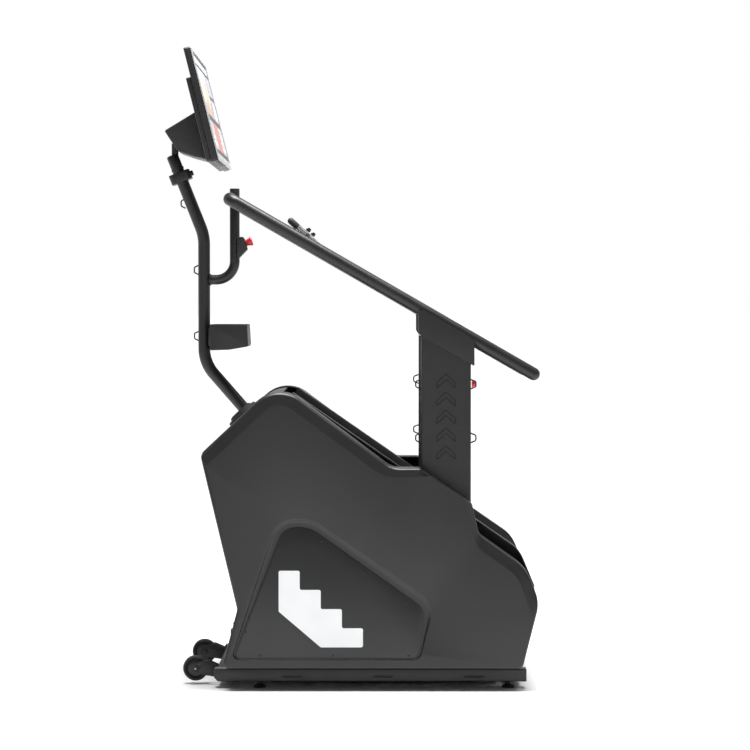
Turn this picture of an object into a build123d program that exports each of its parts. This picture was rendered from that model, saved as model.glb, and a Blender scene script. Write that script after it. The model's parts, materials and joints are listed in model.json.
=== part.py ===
"""Stair climber: an endless flight of eight steps between two charcoal side shells, with a console mast.

+X points to the rear, where the user steps on. +Z is up and -Y is the user's left.
The origin is at the middle of the footprint, on the floor. All sizes are in millimetres.
"""

import os
from math import cos, pi, radians, sin

from build123d import *

os.makedirs("parts", exist_ok=True)

# Endless stair
stair_slope = 34.7
lower_x = 398
lower_z = 298
shaft_spacing = 745
chain_r = 120
step_count = 8
step_half_width = 233
tread_back_depth = 57
step_back_u = 140
tread_t = 24
riser_t = 5
riser_gap = 20
pin_r = 8

# Side structure, as distances from the middle plane
frame_in = 262
frame_out = 268
skirt_in = 237
skirt_out = 241
shell_in = 290
shell_out = 388
shell_low = 74
bevel_y = 9
bevel_xz = 14
wall = 5
cover_t = 4
panel_t = 3

# Base
rail_low = 22
rail_high = 64
rail_out = 318
rail_front = -440
rail_rear = 578
foot_front_x = -292
foot_rear_x = 519
foot_y = 293
foot_r = 21.5
stem_r = 6
pad_edge = 8
pad_top = 14
stem_top = 58
slots_at = (-187, 110, 408)
wheel_x = -506
wheel_z = 52
wheel_y = 210
wheel_r = 41.5
wheel_w = 28
axle_r = 6

# Drive
shaft_r = 20
sprocket_teeth = 24
pulley_r = 110
pulley_y = 300
pulley_w = 20
brake_x = -230
brake_z = 250
brake_r = 95
brake_pulley_r = 40
brake_shaft_r = 10
running_gap = 0.05
sprocket_y = 247
bearing_y = 278
bearing_r = 40

# Uprights and rails
upright_front = 234
upright_rear = 396
upright_low = 520
upright_front_top = 1144
upright_rear_top = 1055
upright_out = 330
rail_tube_r = 21
tube_wall = 3
rail_y = 300
rail_turn_in = 34
rail_bend = 30
rail_start = (-388, 1592)
rail_end = (600, 1023)
rail_clearance = 1100

# Mast and console
mast_r = 20
mast_x = -491
grab_r = 16.5
grab_x = -388
console_w = 650
console_h = 378
console_tilt = 14.1
console_foot = (-417, 0, 1718)
console_t = 27
rear_box_t = 16
screen_depth = 4
post_x = -588
post_r = 11.5
lean_length = 233.5
collar_tall = 34
grab_low = 1332
grab_top = 1638

down = Vector(cos(radians(stair_slope)), 0, -sin(radians(stair_slope)))
out = Vector(sin(radians(stair_slope)), 0, cos(radians(stair_slope)))
lower = Vector(lower_x, 0, lower_z)
upper = lower - down * shaft_spacing
middle = (upper + lower) * 0.5
step_pitch = (2 * shaft_spacing + 2 * pi * chain_r) / step_count
run = step_pitch * cos(radians(stair_slope))
rise = step_pitch * sin(radians(stair_slope))
sides = (("left", -1), ("right", 1))


def side_plane(y):
    """A plane across the machine's width at y, whose local x and y are X and Z."""
    return Plane(origin=(0, y, 0), x_dir=(1, 0, 0), z_dir=(0, -1, 0))


def turned_plane(centre, angle, y=0):
    """A side plane at a point, turned about the Y axis."""
    a = radians(angle)
    return Plane(origin=(centre.X, y, centre.Z), x_dir=(cos(a), 0, -sin(a)), z_dir=(0, -1, 0))


def save(piece, node):
    piece.part.label = node
    export_step(piece.part, f"parts/{node}.step")


def outline(corners):
    """A closed outline from corners of x, z and rounding radius."""
    FilletPolyline(
        *[(x, z) for x, z, r in corners], radius=[r for x, z, r in corners], close=True
    )


# Base

with BuildPart() as base_rails:
    for side, s in sides:
        with BuildSketch(side_plane(s * frame_out if s > 0 else -rail_out)):
            with BuildLine():
                Polyline(
                    (rail_front + 12, rail_low),
                    (rail_rear, rail_low),
                    (rail_rear, rail_high),
                    (rail_front, rail_high),
                    (rail_front, rail_low + 14),
                    close=True,
                )
            make_face()
        extrude(amount=-(rail_out - frame_out))
        with BuildSketch(Plane.YZ.offset(rail_front + 20)):
            with Locations((s * (frame_out + rail_out) / 2, (rail_low + rail_high) / 2)):
                Rectangle(rail_out - frame_out - 8, rail_high - rail_low - 8)
        extrude(amount=rail_rear - rail_front - 24, mode=Mode.SUBTRACT)
        with Locations(*[(x, s * foot_y, rail_low + 10) for x in (foot_front_x, foot_rear_x)]):
            Cylinder(12, 20)
            Cylinder(stem_r + running_gap, 60, mode=Mode.SUBTRACT)
        slots = [(x, s * rail_out, 39) for x in slots_at]
        with Locations(*slots):
            Box(66, 6, 8, mode=Mode.SUBTRACT)
save(base_rails, "base_rails")

with BuildPart() as crossmembers:
    for x, w in ((-410, 40), (-130, 40), (540, 50)):
        with Locations((x, 0, (rail_low + rail_high) / 2)):
            Box(w, 2 * frame_in, rail_high - rail_low)
            Box(w - 8, 2 * frame_in, rail_high - rail_low - 8, mode=Mode.SUBTRACT)
    for side, s in sides:
        with Locations((80, s * (shell_in + rail_out) / 2, (rail_high + shell_low) / 2)):
            Box(930, rail_out - shell_in, shell_low - rail_high)
    with BuildSketch(side_plane(frame_in)):
        with Locations((middle.X, middle.Z)):
            Circle(18)
            Circle(15, mode=Mode.SUBTRACT)
    extrude(amount=2 * frame_in)
    with BuildSketch(turned_plane(upper, -43.2, frame_in)):
        with Locations((-52, 201)):
            Rectangle(84, 6)
    extrude(amount=2 * frame_in)
save(crossmembers, "crossmembers")

for end, x in (("front", foot_front_x), ("rear", foot_rear_x)):
    for side, s in sides:
        with BuildPart() as foot:
            with BuildSketch(Plane(origin=(x, s * foot_y, 0), x_dir=(1, 0, 0), z_dir=(0, -1, 0))):
                with BuildLine():
                    Polyline(
                        (0, 0), (foot_r, 0), (foot_r, pad_edge), (12, pad_top), (stem_r, pad_top), (stem_r, stem_top),
                        (0, stem_top), close=True,
                    )
                make_face()
            revolve(axis=Axis((x, s * foot_y, 0), (0, 0, 1)))
        save(foot, f"foot_{end}_{side}")

with BuildPart() as wheel_brackets:
    for side, s in sides:
        for gap in (-1, 1):
            y = s * wheel_y + gap * (wheel_w / 2 + 5)
            with BuildSketch(side_plane(y + 3)):
                with BuildLine():
                    outline(
                        [(-528, 68, 12), (-524, 36, 12), (-488, 32, 10), (-430, 24, 3), (-430, 62, 3), (-470, 80, 14)]
                    )
                make_face()
                with Locations((wheel_x, wheel_z)):
                    Circle(axle_r, mode=Mode.SUBTRACT)
            extrude(amount=6)
save(wheel_brackets, "wheel_brackets")

with BuildPart() as wheel_axles:
    for side, s in sides:
        with BuildSketch(side_plane(s * wheel_y + wheel_w / 2 + 8)):
            with Locations((wheel_x, wheel_z)):
                Circle(axle_r)
        extrude(amount=wheel_w + 16)
        for y in (s * wheel_y + wheel_w / 2 + 13, s * wheel_y - wheel_w / 2 - 8):
            with BuildSketch(side_plane(y)):
                with Locations((wheel_x, wheel_z)):
                    RegularPolygon(11, 6)
            extrude(amount=5)
save(wheel_axles, "wheel_axles")

for side, s in sides:
    with BuildPart() as wheel:
        with BuildSketch(side_plane(s * wheel_y + wheel_w / 2)):
            with Locations((wheel_x, wheel_z)):
                Circle(wheel_r)
                Circle(axle_r + running_gap, mode=Mode.SUBTRACT)
        extrude(amount=wheel_w)
        chamfer(wheel.edges().filter_by(GeomType.CIRCLE).filter_by(lambda e: e.radius > wheel_r - 1), 5)
        for y in (wheel_w / 2, -wheel_w / 2 + 4):
            with BuildSketch(side_plane(s * wheel_y + y)):
                with Locations((wheel_x, wheel_z)):
                    Circle(28)
                    Circle(14, mode=Mode.SUBTRACT)
            extrude(amount=4, mode=Mode.SUBTRACT)
    save(wheel, f"wheel_{side}")

# Side structure

frame_corners = [
    (-345, 24, 10), (-345, 300, 30), (-405, 600, 40), (-421, 800, 8), (-325, 890, 8), (-215, 890, 60),
    (120, 660, 60), (240, 600, 20), (400, 540, 30), (560, 330, 60), (530, 24, 10),
]
with BuildPart() as side_frames:
    for side, s in sides:
        with BuildSketch(side_plane(frame_out if s > 0 else -frame_in)):
            with BuildLine():
                outline(frame_corners)
            make_face()
            with Locations((upper.X, upper.Z), (lower.X, lower.Z)):
                Circle(shaft_r + 5, mode=Mode.SUBTRACT)
            with Locations((brake_x, brake_z)):
                Circle(brake_shaft_r + 5, mode=Mode.SUBTRACT)
            with Locations((20, 200)):
                SlotOverall(240, 90, mode=Mode.SUBTRACT)
        extrude(amount=frame_out - frame_in)
save(side_frames, "side_frames")

shell_corners = [
    (-410, shell_low, 18), (-360, 264, 30), (-479, 766, 30), (-231, 999, 110), (142, 721, 80), (230, 721, 18),
    (398, 607, 20), (420, 508, 40), (575, 398, 150), (616, 287, 110), (562, shell_low, 18),
]
panel_corners = [(-374, 105, 20), (-211, 530, 60), (-126, 530, 110), (246, 266, 58), (226, 105, 28)]
for side, s in sides:
    with BuildPart() as side_shell:
        with BuildSketch(side_plane(-shell_in)):
            with BuildLine():
                outline(shell_corners)
            make_face()
        extrude(amount=shell_out - shell_in)
        face = side_shell.faces().sort_by(Axis.Y)[0]
        chamfer(face.outer_wire().edges(), bevel_y, bevel_xz, reference=face)
        for inset, depth in ((wall, shell_out - bevel_y - wall), (bevel_xz + wall, shell_out - wall)):
            with BuildSketch(side_plane(-shell_in)):
                with BuildLine():
                    outline(shell_corners)
                make_face()
                offset(amount=-inset, kind=Kind.INTERSECTION, mode=Mode.REPLACE)
            extrude(amount=depth - shell_in, mode=Mode.SUBTRACT)
        with Locations(((upright_front + upright_rear) / 2, -(shell_in + upright_out) / 2, 700)):
            Box(upright_rear - upright_front + 1, upright_out - shell_in + 1, 300, mode=Mode.SUBTRACT)
        with BuildSketch(side_plane(-shell_out + panel_t)):
            with BuildLine():
                outline(panel_corners)
            make_face()
            offset(amount=1)
        extrude(amount=panel_t, mode=Mode.SUBTRACT)
        if s > 0:
            mirror(about=Plane.XZ, mode=Mode.REPLACE)
    save(side_shell, f"side_shell_{side}")

    with BuildPart() as access_panel:
        with BuildSketch(side_plane(-shell_out + panel_t)):
            with BuildLine():
                outline(panel_corners)
            make_face()
        extrude(amount=panel_t)
        if s > 0:
            mirror(about=Plane.XZ, mode=Mode.REPLACE)
    save(access_panel, f"access_panel_{side}")

panel_screws_at = [
    (-226, 456), (-86, 486), (49, 385), (185, 284), (-333, 190), (-288, 115), (-50, 115), (194, 115),
]
shell_screws_at = [(-298, 88), (310, 92), (540, 90)]
with BuildPart() as panel_screws:
    for side, s in sides:
        for places, r in ((panel_screws_at, 4), (shell_screws_at, 5)):
            with BuildSketch(side_plane(s * (shell_out - 3))):
                with Locations(*places):
                    Circle(r)
            extrude(amount=-s * 3)
save(panel_screws, "panel_screws")

# Covers between the shells

def sheet(points, radii, thickness, side):
    """A closed outline of one thickness beside a rounded path of x, z points."""
    path = FilletPolyline(*points, radius=radii)
    offset(path, amount=thickness, side=side)


mast_foot = (-352, 893)
with BuildPart() as front_cover:
    with BuildSketch(side_plane(shell_in)):
        with BuildLine():
            sheet(
                [(-400, 92), (-356, 264), (-474, 764), (-231, 994), (-100, 897)], [40, 30, 110], cover_t, Side.RIGHT
            )
        make_face()
    extrude(amount=2 * shell_in)
    with Locations((-122, 0, 940)):
        Box(200, 2 * shell_in + 2, 200, mode=Mode.SUBTRACT)
    for z, w, h in ((165, 50, 28), (205, 30, 20)):
        with Locations((-380, -200, z)):
            Box(60, w, h, mode=Mode.SUBTRACT)
    with Locations(Location((mast_foot[0], 0, mast_foot[1]), (0, -41, 0))):
        Cylinder(mast_r + 1, 80, mode=Mode.SUBTRACT)
save(front_cover, "front_cover")

with BuildPart() as rear_cover:
    with BuildSketch(side_plane(shell_in)):
        with BuildLine():
            sheet([(601, 325), (603, 287), (592, 215), (558, 86)], [60, 60], cover_t, Side.LEFT)
        make_face()
    extrude(amount=2 * shell_in)
save(rear_cover, "rear_cover")


def skirt_flange(s, x0, x1, reach):
    """The stretch of a skirt's top flange from x0 to x1, out to reach."""
    with BuildPart() as flange:
        with BuildSketch(side_plane(reach if s > 0 else -skirt_out)):
            with BuildLine():
                sheet([(-186, 964), (556, 450), (606, 330)], [110], cover_t, Side.RIGHT)
            make_face()
        extrude(amount=reach - skirt_out)
        with Locations(((x0 + x1) / 2, 0, 600)):
            Box(x1 - x0, 700, 1200, mode=Mode.INTERSECT)
    return flange.part


with BuildPart() as inner_skirts:
    for side, s in sides:
        with BuildSketch(side_plane(skirt_out if s > 0 else -skirt_in)):
            with BuildLine():
                outline(
                    [(-186, 964, 10), (556, 450, 110), (606, 330, 3), (586, 330, 3), (540, 400, 40),
                     (470, 416, 20), (-135, 835, 20), (-200, 920, 20)]
                )
            make_face()
        extrude(amount=skirt_out - skirt_in)
        add(skirt_flange(s, -184, upright_front - 1, shell_in))
        add(skirt_flange(s, upright_front - 1, upright_rear + 1, frame_in + 4))
        add(skirt_flange(s, upright_rear + 1, 620, shell_in))
save(inner_skirts, "inner_skirts")

# Stair drive

def cross_shaft(centre, right_end):
    with BuildPart() as bar:
        with BuildSketch(side_plane(right_end)):
            with Locations((centre.X, centre.Z)):
                Circle(shaft_r)
        extrude(amount=right_end + 292)
    return bar


def sprocket_pair(centre):
    with BuildPart() as pair:
        for side, s in sides:
            with BuildSketch(turned_plane(centre, stair_slope, s * sprocket_y + 4)):
                Circle(chain_r - 7)
                with PolarLocations(chain_r - 2, sprocket_teeth):
                    Trapezoid(12, 14, 70, rotation=-90)
                with PolarLocations(72, 6):
                    Circle(24, mode=Mode.SUBTRACT)
                Circle(shaft_r, mode=Mode.SUBTRACT)
            extrude(amount=8)
    return pair


save(cross_shaft(upper, 335), "upper_shaft")
save(cross_shaft(lower, 292), "lower_shaft")
save(sprocket_pair(upper), "upper_sprockets")
save(sprocket_pair(lower), "lower_sprockets")

with BuildPart() as shaft_bearings:
    for side, s in sides:
        with BuildSketch(side_plane(s * bearing_y + 10)):
            for centre in (upper, lower):
                with Locations((centre.X, centre.Z)):
                    Circle(bearing_r)
                    Circle(shaft_r + running_gap, mode=Mode.SUBTRACT)
        extrude(amount=20)
save(shaft_bearings, "shaft_bearings")

with BuildPart() as step_chains:
    for side, s in sides:
        for gap in (5, -8):
            with BuildSketch(turned_plane(middle, stair_slope, s * sprocket_y + gap + 3)):
                SlotCenterToCenter(shaft_spacing, 2 * (chain_r + 13))
                SlotCenterToCenter(shaft_spacing, 2 * (chain_r - 13), mode=Mode.SUBTRACT)
            extrude(amount=3)
save(step_chains, "step_chains")

with BuildPart() as drive_pulley:
    with BuildSketch(side_plane(pulley_y + pulley_w)):
        with Locations((upper.X, upper.Z)):
            Circle(pulley_r)
            Circle(shaft_r, mode=Mode.SUBTRACT)
            with PolarLocations(66, 5):
                Circle(26, mode=Mode.SUBTRACT)
    extrude(amount=pulley_w)
save(drive_pulley, "drive_pulley")


def belt_outline(extra):
    """The hull of both pulleys, grown by extra."""
    with BuildSketch(side_plane(pulley_y + pulley_w - 1)) as loop:
        with Locations((upper.X, upper.Z)):
            Circle(pulley_r + extra)
        with Locations((brake_x, brake_z)):
            Circle(brake_pulley_r + extra)
        make_hull()
    return loop.sketch


with BuildPart() as drive_belt:
    extrude(belt_outline(4.3), amount=pulley_w - 2)
    extrude(belt_outline(0.3), amount=pulley_w - 2, mode=Mode.SUBTRACT)
save(drive_belt, "drive_belt")

with BuildPart() as brake_unit:
    with BuildSketch(side_plane(frame_in)):
        with Locations((brake_x, brake_z)):
            Circle(brake_r)
    extrude(amount=180)
    chamfer(brake_unit.faces().sort_by(Axis.Y)[0].edges(), 8)
    with Locations((brake_x, 172, brake_z - 80)):
        Box(110, 120, 40)
    with BuildSketch(side_plane(frame_in - 12)):
        with Locations((brake_x, brake_z)):
            Circle(brake_r - 12)
    extrude(amount=146, mode=Mode.SUBTRACT)
    with BuildSketch(side_plane(frame_in)):
        with Locations((brake_x, brake_z)):
            Circle(brake_shaft_r + running_gap)
    extrude(amount=14, mode=Mode.SUBTRACT)
save(brake_unit, "brake_unit")

with BuildPart() as brake_pulley:
    with BuildSketch(side_plane(pulley_y + pulley_w + 6)):
        with Locations((brake_x, brake_z)):
            Circle(brake_shaft_r)
    extrude(amount=130)
    with BuildSketch(side_plane(pulley_y + pulley_w)):
        with Locations((brake_x, brake_z)):
            Circle(brake_pulley_r)
    extrude(amount=pulley_w)
save(brake_pulley, "brake_pulley")

# Steps

tread_x = -step_back_u * cos(radians(stair_slope)) - tread_back_depth * sin(radians(stair_slope))
tread_z = step_back_u * sin(radians(stair_slope)) - tread_back_depth * cos(radians(stair_slope))
nose_x = tread_x + run


def step_place(index):
    """The chain pin of a step and the step's turn about Y, counted along the loop from the upper turn."""
    along = (index % 4) * step_pitch - pi * chain_r / 2
    centre, back = (upper, 0) if index < 4 else (lower, 180)
    if index % 4 == 0:
        turn = back - 90
        pin = centre + out.rotate(Axis.Y, turn) * chain_r
    else:
        turn = back
        pin = centre + out.rotate(Axis.Y, turn) * chain_r + down.rotate(Axis.Y, turn) * along
    return pin, turn


for index in range(step_count):
    pin, turn = step_place(index)
    with BuildPart() as step:
        plane = turned_plane(pin, turn)
        with BuildSketch(plane):
            with BuildLine():
                Polyline(
                    (tread_x, tread_z), (nose_x, tread_z), (nose_x, tread_z - rise + riser_gap),
                    (nose_x - riser_t, tread_z - rise + riser_gap), (nose_x - riser_t, tread_z - tread_t),
                    (tread_x + 4, tread_z - tread_t), close=True,
                )
            make_face()
        extrude(amount=step_half_width, both=True)
        with BuildSketch(plane):
            with Locations(((tread_x + nose_x) / 2 - 3, tread_z - tread_t / 2 - 4)):
                Rectangle(run - 24, tread_t - 7)
        extrude(amount=step_half_width - 12, both=True, mode=Mode.SUBTRACT)
        for s in (-1, 1):
            with BuildSketch(turned_plane(pin, turn, s * 229 + 3)):
                with BuildLine():
                    Polyline((-60, tread_z - 22), (55, tread_z - 22), (16, -14), (-16, -14), close=True)
                make_face()
            extrude(amount=6)
            with BuildSketch(turned_plane(pin, turn, s * 218 + 18)):
                Circle(pin_r)
            extrude(amount=36)
    save(step, f"step_{index + 1}")

# Mast and console

mast_lean = 21.7
mast_bend_z = 1480
mast_top = (mast_x - lean_length * sin(radians(mast_lean)), mast_bend_z + lean_length * cos(radians(mast_lean)))
with BuildPart() as mast:
    with BuildLine(side_plane(0)) as mast_path:
        FilletPolyline((-343, 883), (mast_x, 1053), (mast_x, mast_bend_z), mast_top, radius=[90, 180])
    with BuildSketch(Plane(origin=mast_path.line @ 0, z_dir=mast_path.line % 0)):
        Circle(mast_r)
        Circle(mast_r - tube_wall, mode=Mode.SUBTRACT)
    sweep(path=mast_path.line)
save(mast, "mast")

boot_plane = Plane(origin=(-358, 0, 876), x_dir=(0, 1, 0), z_dir=(-0.684, 0, 0.7295))
with BuildPart() as mast_boot:
    with BuildSketch(boot_plane):
        Circle(58)
    extrude(amount=20, taper=18)
    with BuildSketch(Plane(origin=mast_path.line @ 0, z_dir=mast_path.line % 0)):
        Circle(mast_r)
    extrude(amount=120, mode=Mode.SUBTRACT)
    with BuildSketch(Plane(origin=mast_path.line @ 0, z_dir=mast_path.line % 0)):
        Circle(mast_r)
    extrude(amount=-60, mode=Mode.SUBTRACT)
save(mast_boot, "mast_boot")

lean = Vector(-sin(radians(mast_lean)), 0, cos(radians(mast_lean)))
collar_low = Vector(mast_top[0], 0, mast_top[1]) - lean * 40
with BuildPart() as upper_post:
    with BuildSketch(Plane(origin=Vector(mast_top[0], 0, mast_top[1]), x_dir=(0, 1, 0), z_dir=lean)):
        Circle(mast_r)
    extrude(amount=58)
    with BuildSketch(Plane(origin=collar_low, x_dir=(0, 1, 0), z_dir=lean)):
        RectangleRounded(62, 72, 14)
        Circle(mast_r, mode=Mode.SUBTRACT)
    extrude(amount=collar_tall)
    with BuildSketch(Plane.XY.offset(1730)):
        with Locations((post_x, 0)):
            Circle(post_r)
    extrude(amount=60)
save(upper_post, "upper_post")

console_plane = Plane(origin=console_foot, x_dir=(0, 1, 0),
                      z_dir=(cos(radians(console_tilt)), 0, sin(radians(console_tilt))))
bezel = 12
with BuildPart() as console_housing:
    with BuildSketch(console_plane):
        with Locations((0, console_h / 2)):
            RectangleRounded(console_w, console_h, 8)
    extrude(amount=-console_t)
    with BuildSketch(console_plane.offset(-console_t)):
        with Locations((0, 143)):
            RectangleRounded(console_w - 8, 278, 6)
    extrude(amount=-rear_box_t)
    with BuildSketch(console_plane):
        with Locations((0, console_h / 2)):
            Rectangle(console_w - 2 * bezel, console_h - 2 * bezel)
    extrude(amount=-screen_depth, mode=Mode.SUBTRACT)
save(console_housing, "console_housing")

with BuildPart() as console_screen:
    with BuildSketch(console_plane.offset(-screen_depth)):
        with Locations((0, console_h / 2)):
            Rectangle(console_w - 2 * bezel, console_h - 2 * bezel)
    extrude(amount=3)
save(console_screen, "console_screen")

mount_half = 110
with BuildPart() as console_mount:
    with BuildSketch(Plane(origin=(console_foot[0], mount_half, console_foot[2]),
                           x_dir=console_plane.z_dir, z_dir=(0, -1, 0))):
        with BuildLine():
            outline([(-43, 190, 2), (-166, 152, 4), (-140, 77, 8), (-98, 50, 8), (-43, 20, 2)])
        make_face()
    extrude(amount=2 * mount_half)
    with BuildSketch(Plane.XY.offset(1700)):
        with Locations((post_x, 0)):
            Circle(post_r)
    extrude(amount=90, mode=Mode.SUBTRACT)
save(console_mount, "console_mount")

# Grab tube and stop button

with BuildPart() as grab_tube:
    with BuildLine(side_plane(0)) as grab_path:
        FilletPolyline((mast_x, grab_low), (grab_x, grab_low), (grab_x, grab_top), radius=62)
    with BuildSketch(Plane(origin=grab_path.line @ 0, z_dir=grab_path.line % 0)):
        Circle(grab_r)
        Circle(grab_r - tube_wall, mode=Mode.SUBTRACT)
    sweep(path=grab_path.line)
    with Locations((grab_x, 0, grab_top - tube_wall / 2)):
        Cylinder(grab_r - tube_wall, tube_wall)
    with BuildSketch(Plane.XY.offset(1000)):
        with Locations((mast_x, 0)):
            Circle(mast_r)
    extrude(amount=400, mode=Mode.SUBTRACT)
save(grab_tube, "grab_tube")

stop_face = Vector(-351, 0, 1455)
stop_axis = Vector(0.949, 0, 0.316)
stop_travel = 4
stop_neck_r = 10.5
with BuildPart() as stop_housing:
    with BuildSketch(side_plane(20)):
        with BuildLine():
            outline([(-380, 1476, 2), (-358, 1476, 4), (-344, 1434, 4), (-372, 1405, 3), (-380, 1405, 2)])
        make_face()
    extrude(amount=40)
    with BuildSketch(Plane.XY.offset(1390)):
        with Locations((grab_x, 0)):
            Circle(grab_r)
    extrude(amount=100, mode=Mode.SUBTRACT)
    with BuildSketch(Plane(origin=stop_face - stop_axis * 18, x_dir=(0, 1, 0), z_dir=stop_axis)):
        Circle(stop_neck_r + running_gap)
    extrude(amount=40, mode=Mode.SUBTRACT)
save(stop_housing, "stop_housing")

with BuildPart() as stop_button:
    with BuildSketch(Plane(origin=stop_face - stop_axis * 12, x_dir=(0, 1, 0), z_dir=stop_axis)):
        Circle(stop_neck_r)
    extrude(amount=18)
    stop_cap_foot = stop_face + stop_axis * (stop_travel + 1)
    with BuildSketch(Plane(origin=stop_cap_foot, x_dir=(0, 1, 0), z_dir=stop_axis)):
        Circle(14)
    extrude(amount=15, taper=-8)
    fillet(stop_button.faces().sort_by(Axis.X)[-1].edges(), 2)
save(stop_button, "stop_button")

# Uprights and handrails

rail_slope = (rail_end[1] - rail_start[1]) / (rail_end[0] - rail_start[0])


def round_cap(start, way):
    """A half ball that closes a handrail's end."""
    with BuildPart(Plane(origin=start, z_dir=way)) as cap:
        Sphere(rail_tube_r, arc_size1=0, arc_size2=90, align=None)
    return cap.part


def rail_z(x):
    """Height of the handrail's centre line."""
    return rail_start[1] + rail_slope * (x - rail_start[0])


for side, s in sides:
    y = s * rail_y
    with BuildPart() as handrail:
        with BuildLine() as rail_path:
            FilletPolyline(
                (rail_end[0], y, rail_end[1]), (rail_start[0], y, rail_start[1]),
                (rail_start[0], y - s * rail_turn_in, rail_start[1]), radius=rail_bend,
            )
        with BuildSketch(Plane(origin=rail_path.line @ 0, z_dir=rail_path.line % 0)):
            Circle(rail_tube_r)
            Circle(rail_tube_r - tube_wall, mode=Mode.SUBTRACT)
        sweep(path=rail_path.line)
        add(round_cap((rail_end[0], y, rail_end[1]), (1, 0, rail_slope)))
    save(handrail, f"handrail_{side}")

with BuildPart() as crossbar:
    with BuildSketch(side_plane(rail_y - rail_turn_in)):
        with Locations(rail_start):
            Circle(rail_tube_r)
            Circle(rail_tube_r - tube_wall, mode=Mode.SUBTRACT)
    extrude(amount=2 * (rail_y - rail_turn_in))
    with BuildSketch(Plane.XY.offset(1500)):
        with Locations((grab_x, 0)):
            Circle(grab_r)
    extrude(amount=200, mode=Mode.SUBTRACT)
save(crossbar, "crossbar")

grip_low = Vector(-82, 0, rail_z(-82) + 6)
grip_high = Vector(-190, 0, 1521)
grip_y = 268
grip_r = 11
grip_axis = (grip_high - grip_low).normalized()
with BuildPart() as hand_grips:
    for side, s in sides:
        y = s * grip_y
        with BuildSketch(Plane(origin=(grip_low.X, y, grip_low.Z), x_dir=(0, 1, 0), z_dir=grip_axis)):
            Circle(grip_r)
        extrude(amount=(grip_high - grip_low).length)
        with Locations((grip_high.X, y, grip_high.Z), (grip_low.X, y, grip_low.Z)):
            Sphere(grip_r)
        with BuildSketch(side_plane(s * (rail_y - 15) if s > 0 else y)):
            with Locations((grip_low.X, grip_low.Z)):
                Circle(9)
        extrude(amount=rail_y - 15 - grip_y)
        with BuildSketch(Plane(origin=(rail_end[0], s * rail_y, rail_end[1]), x_dir=(0, 1, 0),
                               z_dir=(-1, 0, -rail_slope))):
            Circle(rail_tube_r)
        extrude(amount=rail_clearance, mode=Mode.SUBTRACT)
save(hand_grips, "hand_grips")

toggle_foot = grip_low + grip_axis * 84
for side, s in sides:
    y = s * grip_y
    with BuildPart() as thumb_toggle:
        with BuildSketch(Plane(origin=(toggle_foot.X, y - 5, toggle_foot.Z), x_dir=grip_axis, z_dir=(0, 1, 0))):
            with BuildLine():
                outline([(-9, 13.6, 1), (0, 11.6, 2), (9, 13.6, 1), (7, 18, 2), (3, 25, 2), (-6, 25, 2)])
            make_face()
        extrude(amount=10)
    save(thumb_toggle, f"thumb_toggle_{side}")

for side, s in sides:
    with BuildPart() as upright:
        with BuildSketch(side_plane(s * frame_out if s < 0 else upright_out)):
            with BuildLine():
                Polyline(
                    (upright_front, upright_low), (upright_rear, upright_low), (upright_rear, upright_rear_top),
                    (upright_front, upright_front_top), close=True,
                )
            make_face()
        extrude(amount=upright_out - frame_out)
        fillet(upright.edges().filter_by(Axis.Z), 8)
        with Locations(((upright_front + upright_rear) / 2, s * (frame_out + upright_out) / 2, 760)):
            Box(upright_rear - upright_front - 2 * tube_wall, upright_out - frame_out - 2 * tube_wall, 560,
                mode=Mode.SUBTRACT)
    save(upright, f"upright_{side}")

with BuildPart() as upright_caps:
    for side, s in sides:
        with BuildSketch(side_plane(s * rail_y + 35)):
            with BuildLine():
                outline([(225, 1160, 2), (225, 1224, 4), (239, 1234, 3), (390, 1147, 4), (407, 1134, 6),
                         (407, 1049, 3), (398, 1054, 2), (234, 1145.9, 2)])
            make_face()
        extrude(amount=70)
        with BuildSketch(side_plane(upright_out if s > 0 else -frame_out)):
            Polygon(
                (upright_front, 1000), (upright_rear, 1000), (upright_rear, upright_rear_top),
                (upright_front, upright_front_top), align=None,
            )
        extrude(amount=upright_out - frame_out, mode=Mode.SUBTRACT)
        with BuildSketch(Plane(origin=(rail_end[0], s * rail_y, rail_end[1]), x_dir=(0, 1, 0),
                               z_dir=(-1, 0, -rail_slope))):
            Circle(rail_tube_r)
        extrude(amount=rail_clearance, mode=Mode.SUBTRACT)
save(upright_caps, "upright_caps")

wire_r = 2
loop_out = 20
mast_loop_out = 15
loop_half = 17
loop_y = frame_out + 31
upright_loops_z = (815, 990)
mast_loops_z = (1143, 1365)
with BuildPart() as wire_loops:
    spots = [(mast_x - mast_r, z, 0, -1) for z in mast_loops_z] + [(-566, 1588, 0, -1)]
    for side, s in sides:
        for z in upright_loops_z:
            spots += [(upright_front, z, s * loop_y, -1), (upright_rear, z, s * loop_y, 1)]
    for x, z, y, way in spots:
        reach = loop_out if y else mast_loop_out
        with BuildLine(side_plane(y)) as bow:
            ThreePointArc((x - way * 3, z + loop_half), (x + way * reach, z), (x - way * 3, z - loop_half))
        with BuildSketch(Plane(origin=bow.line @ 0, z_dir=bow.line % 0)):
            Circle(wire_r)
        sweep(path=bow.line)
save(wire_loops, "wire_loops")

call_travel = 3
call_z = 990
with BuildPart() as call_button:
    with BuildSketch(Plane.YZ.offset(upright_rear + call_travel + 0.5)):
        with Locations((-loop_y, call_z)):
            Circle(13)
    extrude(amount=12)
    fillet(call_button.faces().sort_by(Axis.X)[-1].edges(), 9)
save(call_button, "call_button")

# Tray, inlet and switch

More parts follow.
